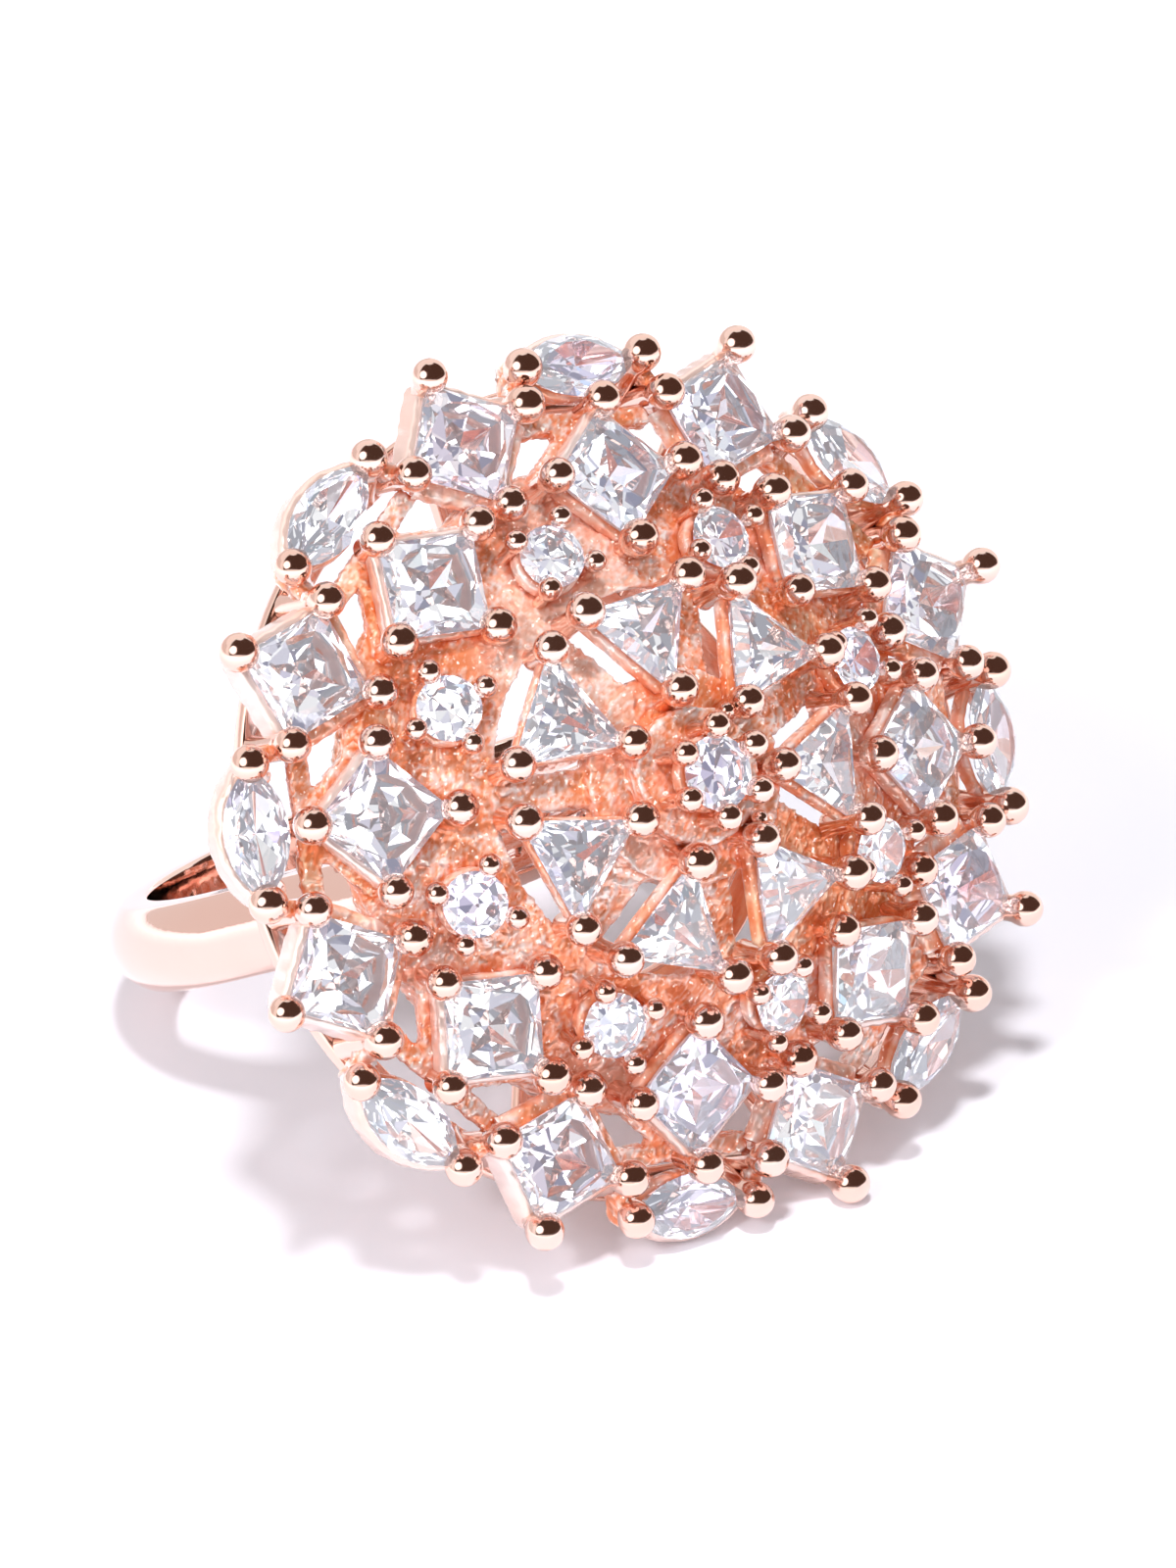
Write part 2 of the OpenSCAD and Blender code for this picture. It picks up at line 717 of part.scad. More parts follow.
lay() shank();
lay() seat_ring();
lay() gallery_struts();
lay() base_rail();
lay() dome_frame();
lay() centre_setting();
lay() triangle_settings();
lay() round_settings();
lay() inner_square_settings();
lay() outer_square_settings();
lay() marquise_settings();
lay() centre_stone();
for (i = [1:triangle_count])
    lay() triangle_stone(i);
for (i = [1:row_count])
    lay() round_stone(i);
for (i = [1:row_count])
    lay() inner_square_stone(i);
for (i = [1:row_count])
    lay() outer_square_stone(i);
for (i = [1:row_count])
    lay() marquise_stone(i);
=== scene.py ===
"""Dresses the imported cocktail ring: cut stones, beaded claws, the cast dome and the polished shank."""
import itertools
import math

import bpy
import numpy as np
from mathutils import Matrix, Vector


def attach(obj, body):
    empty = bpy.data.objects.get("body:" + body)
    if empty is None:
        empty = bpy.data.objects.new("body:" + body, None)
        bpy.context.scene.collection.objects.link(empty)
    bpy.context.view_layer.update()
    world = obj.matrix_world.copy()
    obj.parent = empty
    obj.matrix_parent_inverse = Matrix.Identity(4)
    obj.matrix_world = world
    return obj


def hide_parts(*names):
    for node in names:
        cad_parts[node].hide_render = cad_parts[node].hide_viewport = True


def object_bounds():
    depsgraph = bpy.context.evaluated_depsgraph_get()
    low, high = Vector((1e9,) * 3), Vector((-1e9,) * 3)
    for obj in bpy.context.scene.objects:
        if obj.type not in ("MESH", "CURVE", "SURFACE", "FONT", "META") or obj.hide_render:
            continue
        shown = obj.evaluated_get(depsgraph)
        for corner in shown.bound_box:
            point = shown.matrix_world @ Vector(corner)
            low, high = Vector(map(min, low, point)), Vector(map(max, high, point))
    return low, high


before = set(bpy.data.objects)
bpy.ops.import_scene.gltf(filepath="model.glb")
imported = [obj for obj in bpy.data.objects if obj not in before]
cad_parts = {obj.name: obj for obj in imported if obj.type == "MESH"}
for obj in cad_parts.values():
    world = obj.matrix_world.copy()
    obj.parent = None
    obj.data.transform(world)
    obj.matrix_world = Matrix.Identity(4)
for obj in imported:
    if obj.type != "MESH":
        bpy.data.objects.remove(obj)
cad_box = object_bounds()

# ---- How the ring lies ----
# The head is a shallow dome set on the shank. Its own axis and its two cross axes are read
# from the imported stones: the rim's marquises ring the axis, and the centre stone tops it.

MM = 0.001
ROW_COUNT = 8
CENTRE_TOP = 4.93  # height of the centre stone's table above the outermost claw beads, mm


def triples(values, key):
    """Three numbers from each of a mesh's values, such as the places of its points."""
    numbers = np.empty(len(values) * 3)
    values.foreach_get(key, numbers)
    return numbers.reshape(-1, 3)


def unit(vectors):
    """Each vector divided by its length."""
    return vectors / np.linalg.norm(vectors, axis=-1, keepdims=True)


def corners(node):
    """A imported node's different points, in metres."""
    return np.unique(triples(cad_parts[node].data.vertices, "co").round(7), axis=0)


rim_middles = np.array([corners(f"marquise_stone_{i + 1}").mean(0) for i in range(ROW_COUNT)])
rim_centre = rim_middles.mean(0)
centre_corners = corners("centre_stone") - rim_centre
head_axis = np.linalg.svd(rim_middles - rim_centre)[2][2]
head_axis *= np.sign(np.dot(centre_corners.mean(0), head_axis))
head_up = rim_middles[0] - rim_centre
head_up = unit(head_up - head_axis * np.dot(head_up, head_axis))
HEAD = np.array([np.cross(head_up, head_axis), head_up, head_axis])
head_zero = rim_centre + head_axis * ((centre_corners @ head_axis).max() - CENTRE_TOP * MM)


def lay(points):
    """Takes points from the head's own frame, in mm, to where the ring lies, in metres."""
    return np.asarray(points, float) @ HEAD * MM + head_zero


# ---- Camera, floor and light ----
# The ring lies on a white sheet under four round soft boxes, of which only the key box gives
# highlights. Curved cards that the camera doesn't see stand round it: the metal mirrors some,
# and the others are seen through the stones.

VIEW_TURN = -29.0  # from the head's axis to the camera's line: turned to the left, degrees
VIEW_TIP = -0.63  # and tipped downwards
VIEW_ROLL = -7.64  # the camera's roll about its own line
VIEW_DISTANCE = 260.0  # from the head's middle to the camera, mm
VIEW_SIDE = 1.658  # how far the head's middle stands right of the camera's axis, mm
LENS_MM = 196.5
SENSOR_MM = 36


def stand(name, data):
    """Puts a camera, a lamp or a mesh into the scene."""
    thing = bpy.data.objects.new(name, data)
    bpy.context.scene.collection.objects.link(thing)
    return thing


def aim(thing, place, axes):
    """Moves a camera or a lamp to its place, with its right, its top and its back along the axes."""
    thing.matrix_world = Matrix.Translation(place) @ Matrix(axes.T.tolist()).to_4x4()


view = bpy.data.cameras.new("view")
view.lens = LENS_MM
view.sensor_width = SENSOR_MM
view.clip_start = 0.01
camera = stand("camera", view)
turn, tip, roll = np.radians([VIEW_TURN, VIEW_TIP, VIEW_ROLL])
back = np.array([math.sin(turn) * math.cos(tip), math.sin(tip), math.cos(turn) * math.cos(tip)])
level = np.array([math.cos(turn), 0, -math.sin(turn)])
right = math.cos(roll) * level + math.sin(roll) * np.cross(back, level)
camera_axes = np.array([right, np.cross(back, right), back]) @ HEAD
aim(camera, lay(back * VIEW_DISTANCE - right * VIEW_SIDE), camera_axes)
bpy.context.scene.camera = camera
bpy.context.scene.view_settings.view_transform = "Standard"


def feed(tree, target, inputs):
    """Gives a shader node its inputs: another node's output is linked, and a value is set."""
    for key, value in inputs.items():
        if isinstance(value, bpy.types.NodeSocket):
            tree.links.new(value, target.inputs[key])
        else:
            target.inputs[key].default_value = value


def add_node(tree, kind, inputs, **settings):
    """Adds a shader node with its settings and inputs."""
    added = tree.nodes.new("ShaderNode" + kind)
    for key, value in settings.items():
        setattr(added, key, value)
    feed(tree, added, inputs)
    return added


def maths(tree, operation, *inputs, **settings):
    """One step of arithmetic on other nodes' outputs and plain numbers."""
    return add_node(tree, "Math", dict(enumerate(inputs)), operation=operation, **settings).outputs[0]


def ranged(tree, value, spread, to=(0, 1)):
    """A number taken evenly from one range to another, and held at its ends."""
    ends = dict(zip(("From Min", "From Max", "To Min", "To Max"), (*spread, *to)))
    return add_node(tree, "MapRange", {"Value": value, **ends}).outputs["Result"]


def shown_white(tree, strength):
    """A strength that only camera, mirror and glass rays see, a little less of it through glass."""
    path = add_node(tree, "LightPath", {}).outputs
    through = path["Is Transmission Ray"]
    seen = maths(tree, "ADD", path["Is Camera Ray"], path["Is Glossy Ray"], use_clamp=True)
    dimmed = maths(tree, "MULTIPLY_ADD", through, -GLASS_LOSS * strength, strength)
    return maths(tree, "MULTIPLY", maths(tree, "MAXIMUM", seen, through), dimmed)


def bare_finish(name):
    """A new material, its tree of nodes and its shader."""
    finish = bpy.data.materials.new(name)
    finish.use_nodes = True
    return finish, finish.node_tree, finish.node_tree.nodes["Principled BSDF"]


FILL = 0.29  # light that the room gives to matt surfaces
GLASS_LOSS = 0.3  # share of the white that is lost through glass
world = bpy.data.worlds.new("studio")
world.use_nodes = True
bpy.context.scene.world = world
tree = world.node_tree
feed(tree, tree.nodes["Background"], {
    "Color": (1, 1, 1, 1), "Strength": maths(tree, "ADD", shown_white(tree, 1 - FILL), FILL)})

FLOOR_HALF = 0.6
WHITE_FROM, WHITE_TO = 0.028, 0.07  # distances from the ring between which the sheet whitens, m
WHITE_NEAR, WHITE_FAR = 0.08, 0.5  # how strongly the sheet glows of itself there, a painted white that is weaker near the ring where its shadows fall
floor_z = cad_box[0][2]
mesh = bpy.data.meshes.new("sheet")
ends = (-FLOOR_HALF, FLOOR_HALF)
mesh.from_pydata([(x, y, floor_z) for x in ends for y in ends], [], [(0, 2, 3, 1)])
sheet = stand("sheet", mesh)
paper, tree, shader = bare_finish("white_sheet")
place = add_node(tree, "TexCoord", {}).outputs["Object"]
reach = add_node(tree, "VectorMath", {0: place}, operation="LENGTH").outputs["Value"]
whiter = ranged(tree, reach, (WHITE_FROM, WHITE_TO), (WHITE_NEAR, WHITE_FAR))
feed(tree, shader, {
    "Base Color": (0.85, 0.84, 0.92, 1),
    "Roughness": 0.7,
    "Specular IOR Level": 0.2,
    "Emission Color": (1, 1, 1, 1),
    "Emission Strength": maths(tree, "MULTIPLY", shown_white(tree, 1), whiter)})
mesh.materials.append(paper)

stage_middle = lay((0, 0, 0))
MIRROR_CARDS = 0.9  # distance of the cards that the metal mirrors, m
GLASS_CARDS = 0.8  # and of the cards that show through the stones
CARD_STEPS = 12


def lamp(name, offsets, size, power, mirrored=False):
    """A round soft box, of a size in metres and a power in watts, that faces the ring. Its offsets
    from the head's middle are to the camera's right, up and back. Unless mirrored, it gives no
    highlight."""
    data = bpy.data.lights.new(name, "AREA")
    data.shape = "DISK"
    data.size = size
    data.energy = power
    thing = stand(name, data)
    thing.visible_glossy = mirrored
    place = stage_middle + np.array(offsets) @ camera_axes
    away = unit(place - stage_middle)
    across = unit(np.cross((0, 1, 0.1), away))
    aim(thing, place, np.array([across, np.cross(away, across), away]))


def shade_card(name, sideways, upwards, tone, glass=False, tilt=0):
    """A curved card about the ring, part of a sphere between two bearings each way from the camera's
    line (degrees to the right and upwards; it climbs by the tilt from its first side to its last).
    Only mirrors see it, or only what is seen through the stones."""
    across, rise = (np.radians(np.linspace(*span, CARD_STEPS + 1)) for span in (sideways, upwards))
    across, rise = np.meshgrid(across, rise, indexing="ij")
    rise = rise + np.radians(np.linspace(0, tilt, CARD_STEPS + 1))[:, None]
    grid = np.stack([np.sin(across) * np.cos(rise), np.sin(rise), np.cos(across) * np.cos(rise)], -1)
    grid *= GLASS_CARDS if glass else MIRROR_CARDS
    u, v = np.meshgrid(np.arange(CARD_STEPS), np.arange(CARD_STEPS), indexing="ij")
    first = u * (CARD_STEPS + 1) + v
    after = first + CARD_STEPS + 1
    faces = np.stack([first, first + 1, after + 1, after], -1).reshape(-1, 4)
    mesh = bpy.data.meshes.new(name)
    mesh.from_pydata((stage_middle + grid.reshape(-1, 3) @ camera_axes).tolist(), [], faces.tolist())
    matt, tree, shader = bare_finish(name)
    feed(tree, shader, {"Base Color": (0, 0, 0, 1), "Specular IOR Level": 0,
                        "Emission Color": (*tone, 1), "Emission Strength": 1})
    mesh.materials.append(matt)
    thing = stand(name, mesh)
    thing.visible_camera = False
    thing.visible_diffuse = False
    thing.visible_shadow = False
    thing.visible_glossy = not glass
    thing.visible_transmission = glass


lamp("key_box", (-0.19, 0.06, 0.24), 0.25, 0.3, mirrored=True)
lamp("top_box", (-0.01, 0.29, 0.33), 0.06, 1.4)
lamp("side_box", (-0.17, 0.07, 0.37), 0.05, 0.55)
lamp("front_box", (0.12, 0.05, 0.40), 0.30, 0.45)
shade_card("room_behind", (-62, 112), (-18, 74), (0.075, 0.042, 0.032))
shade_card("room_left", (-180, -84), (13, 52), (0.82, 0.74, 0.73), tilt=-24)
shade_card("table_edge", (-178, -88), (4, 12), (0.06, 0.035, 0.03), tilt=-24)
for name, sideways, upwards, tone in (
        ("dark_middle", (-16, 13), (-16, 10), (0.05, 0.05, 0.10)),
        ("dark_left", (-55, -26), (12, 41), (0.09, 0.09, 0.17)),
        ("dark_right", (36, 64), (-12, 28), (0.09, 0.09, 0.17)),
        ("grey_left", (-62, -17), (-44, 13), (0.50, 0.49, 0.58)),
        ("grey_right", (14, 39), (-52, 20), (0.52, 0.51, 0.60)),
        ("pale_top", (-29, 30), (21, 47), (0.60, 0.59, 0.68)),
        ("white_left", (-110, -64), (9, 60), (1.1, 1.1, 1.1)),
        ("white_right", (64, 96), (-30, 6), (1.1, 1.1, 1.1)),
        ("lilac_room", (-84, -66), (-22, 8), (0.72, 0.60, 0.92)),
        ("blue_room", (8, 24), (48, 62), (0.52, 0.72, 0.95))):
    shade_card(name, sideways, upwards, tone, glass=True)


# ---- Shank ----
# The band is cast brass with a half-round section, plated in rose gold and buffed to a mirror.
# Two shoulders of the same section run off it along tangents up to the seat ring.

BORE_R = 8.65
SHANK_W = 2.8
SHANK_T = 1.7
SHANK_EDGE_T = 0.9  # its thickness along its edges
HEAD_RISE = 15.5  # from the finger hole's middle up to the head's zero
HEAD_TURN = 14.0  # the head's turn on its shank, degrees
HEAD_OFFSET = 0.8  # how far the shank's middle lies below the head's axis
SHOULDER_REACH = 7.4  # how far out the shoulders meet the seat ring
SEAT_BOTTOM = -4.9
SOLDER_GAP = 0.03
EDGE_ROUND = 0.12
CROWN_EDGE = 0.02  # how far the crown stops short of the sides
SIDE_DROP = 0.1  # and how far below the crown's edge the flat of a side starts
PIT_SCALE = 2200  # of the noise that gives the pits, per metre
DRIFT_SCALE = 260  # and of the one that gives the drift of tone


def skin(grids, closed=False):
    """Faces between neighbouring points of each grid (shells, along, around). Around is always
    closed; along is closed too, or capped at both ends by a fan to the end ring's middle. Where a
    shell's signed volume comes out below nothing, its faces are turned outwards."""
    grids = np.asarray(grids, float)
    if grids.ndim == 3:
        grids = grids[None]
    shells, along, around = grids.shape[:3]
    u, v = np.meshgrid(np.arange(along if closed else along - 1), np.arange(around), indexing="ij")
    here, ahead, beside = u * around, (u + 1) % along * around, (v + 1) % around
    quads = np.stack([here + v, here + beside, ahead + beside, ahead + v], -1).reshape(-1, 4)
    points = grids.reshape(shells, -1, 3)
    faces = [quads[:, [0, 1, 2]], quads[:, [0, 2, 3]]]
    if not closed:
        points = np.concatenate([points, grids[:, [0, -1]].mean(2)], 1)
        ring = np.arange(around)
        beside = (ring + 1) % around
        top, middle = (along - 1) * around, along * around
        faces.append(np.stack([beside, ring, np.full(around, middle)], -1))
        faces.append(np.stack([top + ring, top + beside, np.full(around, middle + 1)], -1))
    faces = np.concatenate(faces)
    a, b, c = (points[:, faces[:, k]] for k in range(3))
    volumes = np.einsum("sfi,sfi->s", a, np.cross(b, c))
    every = [(faces[:, ::-1] if volumes[s] < 0 else faces) + s * points.shape[1] for s in range(shells)]
    return points.reshape(-1, 3), np.concatenate(every)


def fit(name, mesh, node):
    """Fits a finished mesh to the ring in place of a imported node."""
    thing = stand(name, mesh)
    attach(thing, "root")
    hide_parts(node)
    return thing


def piece(name, node, coats, sharp=70):
    """Puts shells of points and faces into one mesh. The coats are pairs of a finish and its own
    shells. An edge stays crisp past the sharp angle in degrees, and every edge does where it is 0."""
    points, faces, finishes, start = [], [], [], 0
    mesh = bpy.data.meshes.new(name)
    for number, (finish, shells) in enumerate(coats):
        mesh.materials.append(finish)
        for shell_points, shell_faces in shells:
            points.append(shell_points)
            faces += [face + start for face in shell_faces]
            finishes += [number] * len(shell_faces)
            start += len(shell_points)
    mesh.from_pydata(lay(np.concatenate(points)).tolist(), [], faces)
    mesh.polygons.foreach_set("use_smooth", [sharp != 0] * len(faces))
    if sharp:
        mesh.set_sharp_from_angle(angle=math.radians(sharp))
    mesh.polygons.foreach_set("material_index", finishes)
    if len(coats) > 1:
        mark_ridges(mesh)
    return fit(name, mesh, node)


def carry(section, path, closed=False):
    """Carries a flat outline along a path: at each point its first axis lies sideways and its
    second as near to the head's axis as it can, both square to the path."""
    path = np.asarray(path, float)
    ahead = unit(np.roll(path, -1, 0) - np.roll(path, 1, 0) if closed else np.gradient(path, axis=0))
    side = unit(np.cross(ahead, (0, 0, 1)))
    rise = np.cross(side, ahead)
    return path[:, None] + section[None, :, :1] * side[:, None] + section[None, :, 1:] * rise[:, None]


def noise(tree, place, scale, detail, more=(), **settings):
    """Noise over the piece, its waves about a metre divided by the scale."""
    inputs = {"Vector": place, "Scale": scale, "Detail": detail, **dict(more)}
    return add_node(tree, "TexNoise", inputs, **settings).outputs["Fac"]


def tinted(tree, share, *stops):
    """A colour that runs through the stops, pairs of a share and a colour."""
    added = add_node(tree, "ValToRGB", {"Fac": share})
    ramp = added.color_ramp.elements
    ramp[0].position, ramp[1].position = stops[0][0], stops[-1][0]
    for place_on, _ in stops[1:-1]:
        ramp.new(place_on)
    for stop, (_, tone) in zip(ramp, stops):
        stop.color = (*tone, 1)
    return added.outputs["Color"]


def bumped(tree, height, strength, distance):
    """A surface tilted as a relief of so many metres would tilt it."""
    inputs = {"Height": height, "Strength": strength, "Distance": distance}
    return add_node(tree, "Bump", inputs).outputs["Normal"]


def plated_gold(name, tone, deep, rough=(0.10, 0.15), metallic=1.0, pits=0.00002):
    """Plate whose tone and gloss drift a little over a few millimetres, with faint pits."""
    gold, tree, shader = bare_finish(name)
    place = add_node(tree, "TexCoord", {}).outputs["Object"]
    drift = noise(tree, place, DRIFT_SCALE, 3)
    feed(tree, shader, {
        "Metallic": metallic,
        "Base Color": tinted(tree, drift, (0.35, deep), (0.65, tone)),
        "Roughness": ranged(tree, drift, (0, 1), rough),
        "Normal": bumped(tree, noise(tree, place, PIT_SCALE, 2), 0.2, pits)})
    return gold


turn = math.radians(HEAD_TURN)
c, s = math.cos(turn), math.sin(turn)
FINGER = np.array([[c, s, 0], [-s, c, 0], [0, 0, 1]])
finger_zero = (0, -HEAD_OFFSET, -HEAD_RISE) @ FINGER


def on_finger(points):
    """From the finger's frame (x across the hole, y along the finger, z to the head) to the head's."""
    return np.asarray(points) @ FINGER + finger_zero


def shank_section(count=15):
    """The half-round outline: flat inside, two short sides with rounded edges, and a crown arc.
    First axis along the finger, second outwards from the hole."""
    half, rise = SHANK_W / 2, SHANK_T - SHANK_EDGE_T
    crown_r = (half * half + rise * rise) / (2 * rise)
    swing = math.asin((half - CROWN_EDGE) / crown_r)
    arc = np.linspace(swing, -swing, count)
    crown = np.stack([crown_r * np.sin(arc), SHANK_T - crown_r + crown_r * np.cos(arc)], -1)
    corner = np.linspace(0, math.pi / 2, 5)[1:]
    left = np.stack([-half + EDGE_ROUND * (1 - np.cos(corner)), EDGE_ROUND * (1 - np.sin(corner))], -1)
    side = np.array([[-half, SHANK_EDGE_T - SIDE_DROP], [-half, EDGE_ROUND]])
    inside = np.array([[-half * 0.4, 0], [half * 0.4, 0]])
    near = np.concatenate([side, left])
    return np.concatenate([crown, near, inside, (near * (-1, 1))[::-1]])


shank_gold = plated_gold("buffed_rose_gold", (0.96, 0.70, 0.61), (0.95, 0.67, 0.58), (0.03, 0.07))
turns = np.linspace(0, 2 * math.pi, 240, endpoint=False)
outline = shank_section()
from_bore = outline[:, 1] + BORE_R
hoop = np.stack([
    from_bore * np.cos(turns)[:, None],
    np.broadcast_to(outline[:, 0], (len(turns), len(outline))),
    from_bore * np.sin(turns)[:, None]], -1)
shells = [skin(on_finger(hoop), closed=True)]
shoulder_top = HEAD_RISE + SEAT_BOTTOM - SOLDER_GAP
shoulder_far = math.hypot(SHOULDER_REACH, shoulder_top)
touch = math.atan2(shoulder_top, SHOULDER_REACH) - math.acos((BORE_R + SHANK_T) / shoulder_far)
outwards = np.array([math.cos(touch), 0, math.sin(touch)])
onwards = np.array([-math.sin(touch), 0, math.cos(touch)])
foot = from_bore[:, None] * outwards + outline[:, :1] * (0, 1, 0)
lengths = (shoulder_top - foot[:, 2]) / onwards[2]
shoulder = foot + np.linspace(0, 1, 12)[:, None, None] * lengths[:, None] * onwards
shells += [skin(on_finger(shoulder * (side, side, 1))) for side in (1, -1)]
piece("polished_shank", "shank", [(shank_gold, shells)], sharp=40)


# ---- Seat ring, struts and base rail ----
# The gallery under the head is bent from wire and strip and soldered up: a round seat ring on
# the shoulders, eight struts that spread outwards, and the base rail that carries the rim.

SEAT_R = 6.5
SEAT_W = 1.2
SEAT_TOP = -4.1
SEAT_T = 0.8
BASE_R = 12.1
BASE_W = 1.0
BASE_TOP = -2.1
BASE_T = 0.6
STRUT_D = 0.9
STRUT_WAIST = 0.12  # the share by which a strut is thinner at its middle
STRUT_STEPS = 16
WIRE_ROUND = 0.16
MIDS = [360 / ROW_COUNT * (i + 0.5) for i in range(ROW_COUNT)]


def bar_section(width, height, radius, count=4):
    """A rectangle about its middle, each corner a quarter circle, mirrored from the first one."""
    swing = np.linspace(0, math.pi / 2, count)
    corner = radius * np.stack([np.cos(swing), np.sin(swing)], -1)
    corner += (width / 2 - radius, height / 2 - radius)
    return np.concatenate([corner, (corner * (-1, 1))[::-1], corner * (-1, -1), (corner * (1, -1))[::-1]])


def at_angles(radius, angles):
    """Flat points of a circle: its radius times the cosine and the sine of angles in degrees."""
    return radius * np.stack([np.cos(np.radians(angles)), np.sin(np.radians(angles))], -1)


def circle(radius, count=48):
    """Evenly spaced flat points of a whole circle."""
    return at_angles(radius, np.arange(count) * 360 / count)


def at_height(points, height):
    """Flat points raised to a height."""
    return np.concatenate([points, np.full((len(points), 1), height)], 1)


def spin_matrix(azimuth):
    """Turns the plane of an azimuth, whose radius lies along x, to its place about the axis."""
    angle = math.radians(90 - azimuth)
    c, s = math.cos(angle), math.sin(angle)
    return np.array([[c, -s, 0], [s, c, 0], [0, 0, 1]])


def spun(azimuths, points):
    """The same points at every azimuth, one after another."""
    return np.concatenate([np.asarray(points) @ spin_matrix(a).T for a in azimuths])


def strut():
    """A round wire from the seat ring's top to the base rail's underside, its waist a half wave
    thinner. The rings at its ends slide along it into the planes that it stands between."""
    low, high = SEAT_TOP + SOLDER_GAP, BASE_TOP - BASE_T - SOLDER_GAP
    start = np.array([SEAT_R, 0, SEAT_TOP - SEAT_T / 2])
    run = np.array([BASE_R, 0, BASE_TOP - BASE_T / 2]) - start
    along = np.linspace(low - start[2], high - start[2], STRUT_STEPS) / run[2]
    path = start + along[:, None] * run
    waist = 1 - STRUT_WAIST * np.sin(math.pi * np.linspace(0, 1, STRUT_STEPS))
    tube = carry(circle(STRUT_D / 2, 20), path)
    tube = path[:, None] + (tube - path[:, None]) * waist[:, None, None]
    for end, height in ((0, low), (-1, high)):
        tube[end, :, 0] += (height - tube[end, :, 2]) * run[0] / run[2]
        tube[end, :, 2] = height
    return tube


wire_gold = plated_gold("gallery_rose_gold", (0.95, 0.66, 0.56), (0.93, 0.61, 0.50))
for name, node, radius, top, width, thick in (
        ("polished_seat_ring", "seat_ring", SEAT_R, SEAT_TOP, SEAT_W, SEAT_T),
        ("polished_base_rail", "base_rail", BASE_R, BASE_TOP, BASE_W, BASE_T)):
    hoop = carry(bar_section(width, thick, WIRE_ROUND), at_height(circle(radius, 160), top - thick / 2), True)
    piece(name, node, [(wire_gold, [skin(hoop, closed=True)])], sharp=50)
struts = [skin(strut() @ spin_matrix(a).T) for a in MIDS]
piece("polished_struts", "gallery_struts", [(wire_gold, struts)], sharp=60)


# ---- Dome frame ----
# The dome is one rough casting: a hub plate with a boss under the centre stone, seven flat
# spokes, a sloping web with a window under each inner square, and a wing outside each window.
# It left its mould with a wrinkled skin and ragged edges, and was plated without any buffing.

WELD = 0.0005  # points closer than this are one, mm
SKIN_STEP = 0.11  # size of the skin's meshes, mm
RIDGE_RISE = 0.45  # the outstand, as a share of the neighbours' distance, at which the plate's painted ridge highlight is palest
WRINKLES = ((1.1, 0.03), (0.5, 0.03), (0.26, 0.03))  # wave length and height, mm
WAVES = 40
CREST = 9  # what the sum of that many waves hardly ever passes
PATCH_SCALE = 170  # of the noise that makes warm and pale patches, per metre
CLOUD_SCALE = 900  # of the one that clouds the tone
SAND_SCALE = 2300
# of the noise that places the painted glints, per metre
GLINT_SCALE = 6500
HOLLOW_SHADE_REACH = 0.0009  # how far off other metal still darkens a hollow with painted shade, m
SAND_DEPTH = 0.0002


def grain(points, size, seed=3):
    """Cast skin: the sum of plane waves of about one length, in seeded directions, from -1 to 1."""
    luck = np.random.default_rng(seed)
    waves = luck.normal(size=(WAVES, 3))
    waves *= (2 * math.pi / size * luck.uniform(0.6, 1.5, WAVES) / np.linalg.norm(waves, axis=1))[:, None]
    return np.sin(points @ waves.T + luck.uniform(0, 2 * math.pi, WAVES)).sum(-1) / CREST


def mark_ridges(mesh):
    """Gives each point how far it stands out from the mean of its neighbours, as a share of their
    distance, with 0.5 for flat and 1 for the sharpest ridges."""
    points = triples(mesh.vertices, "co")
    normals = triples(mesh.vertex_normals, "vector")
    ends = np.empty(len(mesh.edges) * 2, int)
    mesh.edges.foreach_get("vertices", ends)
    ends = ends.reshape(-1, 2)
    one, other = np.concatenate([ends, ends[:, ::-1]]).T
    pull = points[other] - points[one]
    outstand = -(pull * normals[one]).sum(1) / np.maximum(np.linalg.norm(pull, axis=1), 1e-9)
    count = np.maximum(np.bincount(one, minlength=len(points)), 1)
    outstand = np.bincount(one, outstand, len(points)) / count
    ridges = mesh.attributes.new("ridges", "FLOAT", "POINT")
    ridges.data.foreach_set("value", np.clip(0.5 + outstand / (2 * RIDGE_RISE), 0, 1))


def cast_skin(name, node):
    """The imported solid's own surface, meshed evenly and moved in and out along its normals by the
    sum of the wrinkles."""
    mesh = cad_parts[node].data.copy()
    mesh.transform(Matrix.Scale(1 / MM, 4))
    solid = stand(name, mesh)
    weld = solid.modifiers.new("weld", "WELD")
    weld.merge_threshold = WELD
    remesh = solid.modifiers.new("skin", "REMESH")
    remesh.voxel_size = SKIN_STEP
    remesh.use_smooth_shade = True
    skinned = bpy.data.meshes.new_from_object(solid.evaluated_get(bpy.context.evaluated_depsgraph_get()))
    bpy.data.objects.remove(solid)
    points = triples(skinned.vertices, "co")
    normals = triples(skinned.vertex_normals, "vector")
    height = sum(h * grain(points, size, seed) for seed, (size, h) in enumerate(WRINKLES))
    skinned.vertices.foreach_set("co", (MM * (points + height[:, None] * normals)).ravel())
    skinned.update()
    mark_ridges(skinned)
    return skinned


def mixed(tree, share, colour, other, blend="MIX"):
    """One colour taken to another, or multiplied by it, by a share."""
    inputs = {"Factor": share, "A": colour, "B": other}
    return add_node(tree, "Mix", inputs, data_type="RGBA", blend_type=blend).outputs["Result"]


